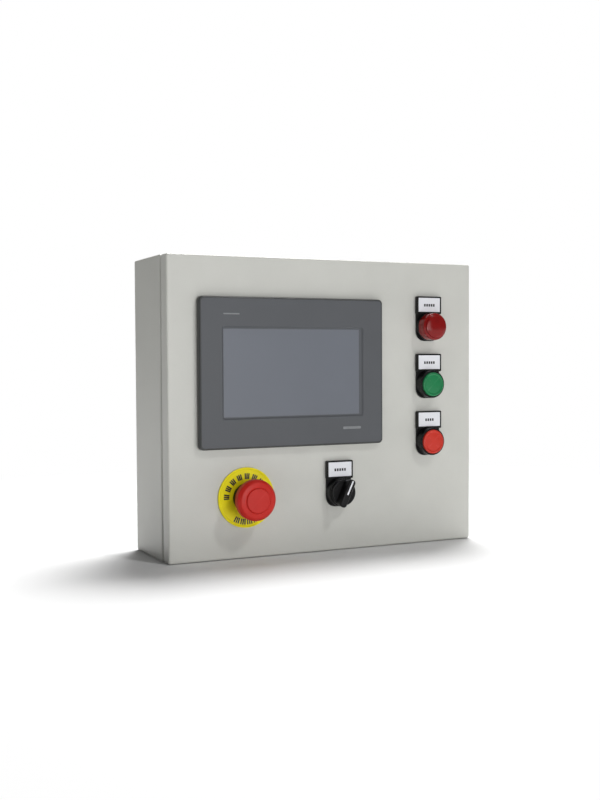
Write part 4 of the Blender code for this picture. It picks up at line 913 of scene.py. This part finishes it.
def power_supply():
    low, high, middle = box_of("power_supply")
    x, z = middle.x, middle.z
    wide, half = high.x - low.x, (high.z - low.z) / 2
    back = -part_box("din_rail")[0].y + GAP
    face = -low.y
    step = half - 0.02
    shelf = face - 0.008
    outline = soften(
        [(-back, z - half, 0.0008), (-back, z + half, 0.0008), (-shelf, z + half, 0.0012),
         (-shelf, z + step, 0.0006),
         (-face, z + step - 0.002, 0.0012), (-face, z - step + 0.002, 0.0012), (-shelf, z - step, 0.0006),
         (-shelf, z - half, 0.0012)], 3)
    case = along_x(prism(outline, x - wide / 2, x + wide / 2))
    bmesh.ops.recalc_face_normals(case, faces=case.faces)
    vents = []
    for line in range(5):
        for column in (-1, 1):
            place = (column * 0.0098, 0.0192 - line * 0.0028)
            vents.append(slab(0.0165, 0.0013, 0.0006, face - 0.0016, face + PAST, 0, place, 4))
    for line in range(9):
        for side in (-1, 1):
            x_at, y_at = side * wide / 2, -0.018 + line * 0.0045
            vents.append(block((x_at - 0.0012, y_at - 0.0008, back + 0.006),
                               (x_at + 0.0012, y_at + 0.0008, shelf - 0.004)))
    wells, mouths, screws = [], [], []
    for side, count in ((1, 3), (-1, 4)):
        for across in row(count, 0.0095):
            place = (across, side * (half - 0.0075))
            screws.append(place)
            wells.append(rod(0.0031, shelf - 0.0045, shelf + PAST, sides=28, centre=place))
            mouths.append(block((place[0] - 0.0032, side * half - 0.004, shelf - 0.0125),
                                (place[0] + 0.0032, side * half + 0.004, shelf - 0.007)))
    label = (0.03, 0.0125)
    seat = slab(*label, 0.0008, face - 0.0003, face + PAST, -0.0002, (0, -0.0055), 4)
    trim = slab(0.0046, 0.0046, 0.00228, face - 0.002, face + PAST, 0, (0.0145, -0.018), 4)
    cuts = facing(together(vents + wells + mouths + [seat, trim]), x, z, 0)
    made = carved(case, ("UNION", together(claws(x, wide, -back))), ("DIFFERENCE", cuts))
    piece("supply_case", made, "enclosure", "moulding", ["power_supply"])
    heads = screw_heads(screws, 0.0028, shelf - 0.0044, shelf - 0.0012)
    on_wall("supply_screws", heads, (x, z), "steel")
    card = pad(*label, 0.0007, face - 0.0003, face + 0.00002, 0.00005, (0, -0.0055), False, 1)
    on_wall("supply_label", card, (x, z), "white")
    rows = [marks(9, (0.002, 0.0007), 0.0027, face + 0.00003,
                  centre=(0, -0.0025 - 0.0022 * line)) for line in range(4)]
    on_wall("supply_label_marks", together(rows), (x, z), "ink")
    bulb = soften([(0, face - 0.001, 0), (0.0013, face - 0.001, 0), (0.0013, face - 0.0001, 0.0006),
                   (0, face - 0.0001, 0)], 3)
    lamp_mesh = turned(bulb, 24, (-0.0145, -0.018))
    on_wall("supply_lamp", lamp_mesh, (x, z), "green")
    knob = screw_heads([(0.0145, -0.018)], 0.002, face - 0.0019, face - 0.0003)
    on_wall("supply_trimmer", knob, (x, z), "yellow")


def terminals():
    low, high, middle = box_of("terminal_strip")
    x, z = middle.x, middle.z
    wide, half = high.x - low.x, (high.z - low.z) / 2
    back = -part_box("din_rail")[0].y + GAP
    deep = -low.y - back
    shoulder = 0.014
    count = 10
    pitch = wide / count
    face = back + deep
    outline = soften(
        [(-back, z - half, 0.0006), (-back, z + half, 0.0006), (-back - deep * 0.5, z + half, 0.0012),
         (-back - deep * 0.7, z + shoulder, 0.001), (-face, z + shoulder, 0.0012),
         (-face, z - shoulder, 0.0012),
         (-back - deep * 0.7, z - shoulder, 0.001), (-back - deep * 0.5, z - half, 0.0012)], 3)
    screws, cuts, markers = [], [], []
    for middle_x in row(count, pitch):
        for side in (-1, 1):
            place = (middle_x, side * 0.0098)
            screws.append(place)
            cuts.append(rod(0.0023, face - 0.0048, face + PAST, sides=24, centre=place))
            cuts.append(block((middle_x - 0.0019, side * 0.0185 - 0.0045, face - 0.017),
                              (middle_x + 0.0019, side * 0.0185 + 0.0045, face - 0.0128)))
        markers.append(pad(pitch - 0.001, 0.0092, 0.0004, face - 0.0004, face + 0.0003, 0.0001,
                           (middle_x, 0), False, 2))
    opened = facing(together(cuts), x, z, 0)
    groups = {"terminal_modules": (range(count - 1), "moulding"),
              "terminal_earth": ([count - 1], "earth")}
    for name, (numbers, look) in groups.items():
        lefts = [x - wide / 2 + number * pitch for number in numbers]
        modules = [along_x(prism(outline, left + 0.0001, left + pitch - 0.0001)) for left in lefts]
        changes = [("DIFFERENCE", opened.copy())]
        replaced = []
        if name == "terminal_modules":
            changes.insert(0, ("UNION", together(claws(x, wide - 2 * pitch, -back))))
            replaced = ["terminal_strip"]
        piece(name, carved(together(modules), *changes), "enclosure", look, replaced)
    opened.free()
    heads = screw_heads(screws, 0.0021, face - 0.0047, face - 0.0018, 0.0006)
    on_wall("terminal_screws", heads, (x, z), "steel")
    on_wall("terminal_markers", together(markers), (x, z), "white")


def gland():
    low, high, middle = box_of("gland_plate")
    at = (middle.x, middle.y)
    wide, deep = high.x - low.x, high.y - low.y
    sheet = pad(wide, deep, 0.0033, low.z, high.z, 0.0003, at)
    rings = []
    for step in (-1, 0, 1):
        place = (middle.x + step * 0.034, middle.y)
        for radius in (0.0082, 0.0104):
            rings.append(tube(radius, radius + 0.0005, low.z - 0.001, low.z + 0.0005, 0, 64, place))
    made = cut(sheet, together(rings))
    piece("blank_gland_plate", made, "enclosure", "paint", ["gland_plate"])
    places = [(middle.x + a * (wide / 2 - 0.005), middle.y + b * (deep / 2 - 0.005)) for a, b in CORNERS]
    places += [(middle.x, middle.y + b * (deep / 2 - 0.005)) for b in (-1, 1)]
    heads = screw_heads(places, 0.0035, high.z, high.z + 0.0022)
    piece("gland_screws", heads, "enclosure", "zinc")


# Lock: made about its own Z and laid along X
def lock():
    low, high, middle = box_of("lock_housing")
    place = (HALF_X, middle.y, middle.z)
    flange = (high.z - low.z) / 2
    top = high.x - HALF_X
    back = low.x - HALF_X
    barrel, bore = 0.009, 0.0063
    profile = [(bore, back), (barrel - 0.0009, back)]
    profile += thread(barrel, barrel - 0.0007, back + 0.0005, -SHEET - 0.0012, 0.0012)
    profile += soften([(barrel, -SHEET - 0.0009, 0), (barrel, GAP, 0), (flange, GAP, 0.0003),
                       (flange, top - 0.0011, 0.0008),
                       (flange - 0.0022, top, 0.0008), (bore + 0.0014, top, 0.0003),
                       (bore + 0.0008, top - 0.0004, 0.0002),
                       (bore, top - 0.0004, 0.0002)], 4)
    piece("lock_barrel", along_x(turned(profile), place), "enclosure", "steel", ["lock_housing"])
    nut_low, nut_high, _ = box_of("lock_nut")
    nut = hexagon(0.0229, nut_low.x - HALF_X, nut_high.x - HALF_X, barrel + GAP, 0.001)
    piece("lock_ring_nut", along_x(nut, place), "enclosure", "zinc", ["lock_nut"])
    pin = rod(0.0014, top - 0.0075, top - 0.001, 0.0004)
    piece("lock_core_pin", along_x(pin, place), "lock", "steel")


# Behind the door: local Z runs out of the door, so what lies behind it has a negative Z
def lock_ring(name):
    """The notched nut that clamps a control from behind the door."""
    wide, _, back, front, at = door_box(f"{name}_collar")
    radius = wide / 2

    def notched(angle, r):
        return r - 0.0014 if r > radius - 0.002 and math.cos(8 * angle) > 0.55 else r

    profile = soften([(BARREL + GAP, back, 0.0004), (radius, back, 0.0006), (radius, front - 0.0014, 0.0004),
                      (radius, front, 0.0003), (BARREL + GAP, front, 0.0004)], 3)
    made = turned(profile, SMOOTH, ripple=notched)
    on_door(f"{name}_lock_ring", made, at, "black", [f"{name}_collar"], crease=25)


def contact_unit(name, node_name, looks):
    """A latched base with two plug-on modules and their screw terminals."""
    at = door_box(f"{name}_body")[4]
    wide, tall, back, _, middle = door_box(node_name)
    front = BARREL_BACK - GAP
    deep = front - back
    shift = middle[1] - at[1]
    base_back = front - deep * 0.3
    base = pad(wide, tall - 0.007, 0.002, base_back, front, 0.0006, (0, shift))
    lever = pad(0.009, 0.006, 0.0015, base_back + 0.0012, front - 0.0012, 0.0005,
                (0, shift + tall / 2 - 0.0035))
    changes = [("UNION", lever)]
    if name != "pilot":
        changes.append(("DIFFERENCE", rod(0.0045, base_back - PAST, front + PAST)))
    mount = carved(base, *changes)
    on_door(f"{name}_block_base", mount, at, "case", [node_name], slot="block_plastic")
    half = tall / 2
    steps = soften(
        [(base_back - GAP / 3, -half, 0.0004), (base_back - GAP / 3, half, 0.0004),
         (front - deep * 0.58, half, 0.001),
         (front - deep * 0.6, half - 0.006, 0.0006), (back, half - 0.007, 0.0012),
         (back, -half + 0.007, 0.0012),
         (front - deep * 0.6, -half + 0.006, 0.0006), (front - deep * 0.58, -half, 0.001)], 3)
    shelf = front - deep * 0.59
    modules, cuts, screws, tabs = [], [], [], []
    for side in (-1, 1):
        inner, outer = sorted((side * 0.0003, side * (wide / 2 - 0.0002)))
        modules.append(loft([[(x, y + shift, h) for h, y in steps] for x in (inner, outer)]))
        x = side * wide / 4
        for end in (-1, 1):
            place = (x, shift + end * (half - 0.003))
            screws.append(place)
            cuts.append(rod(0.0024, shelf - PAST, shelf + 0.003, sides=24, centre=place))
            cuts.append(block((x - 0.0026, shift + end * half - 0.003, shelf + 0.0014),
                              (x + 0.0026, shift + end * half + 0.003, shelf + 0.0046)))
        tabs.append(pad(0.006, 0.01, 0.0006, back, back + 0.0012, 0.0002, (x, shift), True, 2))
        cuts.append(slab(0.0066, 0.0106, 0.0008, back - PAST, back + 0.0013, 0, (x, shift), 4))
    plugged = cut(together(modules), together(cuts))
    on_door(f"{name}_block_modules", plugged, at, "block")
    heads = screw_heads(screws, 0.0022, shelf + 0.0029, shelf + 0.0008, 0.0006)
    on_door(f"{name}_block_screws", heads, at, "steel")
    for side, look, tab in zip(("left", "right"), looks, tabs):
        on_door(f"{name}_block_tab_{side}", tab, at, look)


def panel_rear():
    """The operator panel's rear case with its vents, label and connector bay."""
    wide, tall, back, top, at = door_box("hmi_rear_case")
    levels = [(back, 0.002), (back + 0.0006, 0.0014), (back + 0.004, 0.0), (top, 0.0)]
    shell = loft([rounded(wide, tall, 0.003, h, inset) for h, inset in levels])
    floor = back + 0.0115
    hollow = slab(wide - 0.005, tall - 0.005, 0.0018, floor, top + PAST)
    cuts = []
    for x in row(22, 0.007):
        for side in (-1, 1):
            cuts.append(slab(0.0026, 0.0125, 0.0012, back - PAST, back + 0.0022, 0,
                             (x, 0.043 + side * 0.0075), 4))
            cuts.append(block((x - 0.0013, side * tall / 2 - 0.0016, back + 0.0075),
                              (x + 0.0013, side * tall / 2 + 0.0016, -0.0065)))
    bay = (0.0, -0.045)
    cuts.append(slab(BAY[0], BAY[1], 0.002, back - PAST, back + BAY_DEEP, 0, bay, 4))
    label = (0.062, 0.034)
    label_at = (-0.04, -0.002)
    cuts.append(slab(label[0] + 0.001, label[1] + 0.001, 0.0012, back - PAST, back + 0.0005, 0, label_at, 4))
    cover_at = (0.046, -0.002)
    ring = slab(0.05, 0.034, 0.002, back - PAST, back + 0.0008, 0, cover_at, 4)
    lid = slab(0.0488, 0.0328, 0.0016, back - 0.02, back + 0.001, 0, cover_at, 4)
    cuts.append(cut(ring, lid))
    corners = [(a * (wide / 2 - 0.008), b * (tall / 2 - 0.008)) for a, b in CORNERS]
    cuts += [rod(0.0036, back - PAST, back + 0.003, sides=32, centre=place) for place in corners]
    made = cut(shell, hollow, together(cuts))
    on_door("hmi_back_case", made, at, "case", ["hmi_rear_case"])
    heads = screw_heads(corners, 0.0031, back + 0.0029, back + 0.0006, 0.0008)
    on_door("hmi_back_screws", heads, at, "zinc")
    card = pad(*label, 0.0008, back + 0.0002, back + 0.0006, 0.0001, label_at)
    on_door("hmi_back_label", card, at, "white")
    rows = []
    for line, count in enumerate((14, 11, 14, 9, 12)):
        for number in range(count):
            place = (label_at[0] + 0.026 - number * 0.0036, label_at[1] + 0.0115 - line * 0.0056)
            rows.append(pad(0.0027, 0.0014, 0.0003, back + 0.00014, back + 0.0003, 0.00002, place, True, 1))
    on_door("hmi_back_label_marks", together(rows), at, "ink")

    floor = back + BAY_DEEP + 0.0003
    shells, insides, pins = [], [], []
    for x, size, mouth in ((-0.0365, (0.016, 0.0135), (0.0118, 0.0095)),
                           (-0.0165, (0.016, 0.0135), (0.0118, 0.0095)),
                           (0.0005, (0.0135, 0.006), (0.0118, 0.0044))):
        place = (x, bay[1])
        shells.append(pad(*size, 0.0006, back + 0.0008, floor, 0.0002, place))
        insides.append(slab(*mouth, 0.0005, back - PAST, floor - 0.0016, 0, place, 4))
        pins.append(pad(mouth[0] * 0.8, mouth[1] * 0.22, 0.0002, back + 0.003, floor - 0.001, 0.0001, place))
    sockets = cut(together(shells), together(insides))
    on_door("hmi_data_sockets", sockets, at, "steel")
    on_door("hmi_socket_tongues", together(pins), at, "black")

    serial_at = (0.0225, bay[1])
    flange = pad(0.027, 0.0118, 0.0016, back + 0.0056, floor, 0.0003, serial_at)
    shape = [(-0.0085, 0.0042), (0.0085, 0.0042), (0.0073, -0.0042), (-0.0073, -0.0042)]
    rim = soften([(serial_at[0] + x, serial_at[1] + y, 0.0016) for x, y in shape], 5)
    inner = soften([(serial_at[0] + x * 0.92, serial_at[1] + y * 0.86, 0.0013) for x, y in shape], 5)
    serial = carved(flange, ("UNION", prism(rim, back + 0.0012, floor - 0.0005)),
                    ("DIFFERENCE", prism(inner, back - PAST, back + 0.0052)))
    on_door("hmi_serial_shell", serial, at, "zinc")
    dots = []
    for count, rise in ((5, 0.0014), (4, -0.0014)):
        for across in row(count, 0.00275):
            place = (serial_at[0] + across, serial_at[1] + rise)
            dots.append(rod(0.00045, back + 0.002, back + 0.0056, sides=12, centre=place))
    on_door("hmi_serial_pins", together(dots), at, "copper")

    power_at = (0.0465, bay[1])
    plug = pad(0.0165, 0.011, 0.0006, back + 0.0008, floor, 0.0004, power_at)
    wires = [(power_at[0] + across, power_at[1] - 0.0022) for across in row(3, 0.0051)]
    heads_at = [(power_at[0] + across, power_at[1] + 0.0026) for across in row(3, 0.0051)]
    openings = [slab(0.0036, 0.0036, 0.0004, back - PAST, back + 0.006, 0, place, 3) for place in wires]
    openings += [rod(0.0019, back - PAST, back + 0.003, sides=24, centre=place) for place in heads_at]
    connector = cut(plug, together(openings))
    on_door("hmi_power_connector", connector, at, "green_circuit")
    heads = screw_heads(heads_at, 0.0017, back + 0.0029, back + 0.0014, 0.0005)
    on_door("hmi_power_screws", heads, at, "steel")


def panel_clamps():
    for number in range(1, 5):
        wide, tall, back, front, at = door_box(f"hmi_clamp_{number}")
        body = pad(wide, tall, 0.001, back + 0.003, back + 0.018, 0.0005)
        window = slab(wide - 0.004, tall + 0.004, 0.0006, back + 0.0068, back + 0.0142)
        bracket = cut(body, window)
        profile = [(0, back + 0.0016), (0.0013, back + 0.0016)]
        profile += thread(0.0017, 0.0013, back + 0.0018, front - 0.002, 0.0008)
        profile += [(0.0014, front - 0.0018), (0.003, front - 0.0014), (0.003, front), (0, front)]
        screw = turned(profile, 20)
        head = screw_heads([(0, 0)], 0.0028, back + 0.0022, back, 0.0008)
        made = together([bracket, screw, head])
        on_door(f"hmi_fixing_{number}", made, at, "zinc", [f"hmi_clamp_{number}"])


# CAD nodes that keep their shape
KEPT = {
    "hinge": "steel", "lock": "steel", "gland_gasket": "rubber", "hmi_gasket": "rubber",
    "hmi_display_module": "moulding",
}


def keep_nodes():
    for name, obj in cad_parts.items():
        if obj.hide_render:
            continue
        starts = [key for key in KEPT if name.startswith(key)]
        look = KEPT[starts[0]] if starts else ("block" if name.endswith("contact_block") else "black")
        obj.data.materials.clear()
        obj.data.materials.append(FINISH[look])
        weld = obj.modifiers.new("one_surface", "WELD")
        weld.merge_threshold = 0.00001
        polish(obj, 0.00025)


# Floor, light and camera
def stage():
    floor_mesh = bmesh.new()
    bmesh.ops.create_circle(floor_mesh, cap_ends=True, segments=96, radius=6.0)
    floor = added("floor", settled("floor", floor_mesh))
    floor.location = (0, 0, cad_box[0].z - 0.0001)
    floor.data.materials.append(FINISH["floor"])


def lamp(name, place, aim, size, power):
    light = bpy.data.lights.new(name, "AREA")
    light.shape = "DISK"
    light.size = size
    light.energy = power
    made = added(name, light)
    made.location = place
    made.rotation_euler = (Vector(aim) - Vector(place)).to_track_quat("-Z", "Y").to_euler()


def light():
    centre = Vector((0, -FRONT, 0))
    toward_key = Vector((0.29, -0.644, 0.708))
    lamp("key", centre + toward_key * 4.0, centre, 0.36, 32)
    lamp("overhead", (0.45, 0.5, 1.85), (0, 0.0, 0), 0.9, 60)
    lamp("front_fill", (0.3, -2.7, 0.0), centre, 1.6, 16)
    lamp("low_fill", (-0.05, -1.25, -0.1), (0, -FRONT, -0.12), 0.4, 2.9)
    world = bpy.data.worlds.new("studio")
    bpy.context.scene.world = world
    world.use_nodes = True
    tree = world.node_tree
    tree.nodes.clear()
    seen = node(tree, "LightPath").outputs["Is Camera Ray"]
    strength = node(tree, "MapRange", {"Value": seen, "To Min": 0.12, "To Max": 1.0})
    glow = node(tree, "Background", {"Color": (1, 1, 1, 1), "Strength": strength.outputs["Result"]})
    node(tree, "OutputWorld", {"Surface": glow.outputs[0]})


def camera():
    lens = bpy.data.cameras.new("camera")
    lens.sensor_width = CAMERA_SENSOR
    lens.lens = CAMERA_LENS
    made = added("camera", lens)
    made.location = CAMERA_AT
    made.rotation_euler = [math.radians(angle) for angle in CAMERA_TURN]
    bpy.context.scene.camera = made


camera()
stage()
light()
bpy.context.scene.view_settings.view_transform = "Standard"

enclosure_shell()
door_shell()
door_seal()
operator_panel()
pilot_light()
push_button("start", "green", 5)
push_button("stop", "red", 4)
selector_switch()
emergency_stop()
plate_and_nuts()
rail()
power_supply()
terminals()
gland()
lock()
panel_rear()
panel_clamps()
for station in STATIONS:
    lock_ring(station)
contact_unit("pilot", "pilot_led_module", ("red", "white"))
contact_unit("start", "start_contact_block", ("green", "green"))
contact_unit("stop", "stop_contact_block", ("red", "red"))
contact_unit("selector", "selector_contact_block", ("green", "red"))
contact_unit("estop", "estop_contact_block", ("red", "red"))
earth_bolt("door_earth_stud", -0.128, -0.1, FRONT - SHEET, "door", -0.014)
keep_nodes()
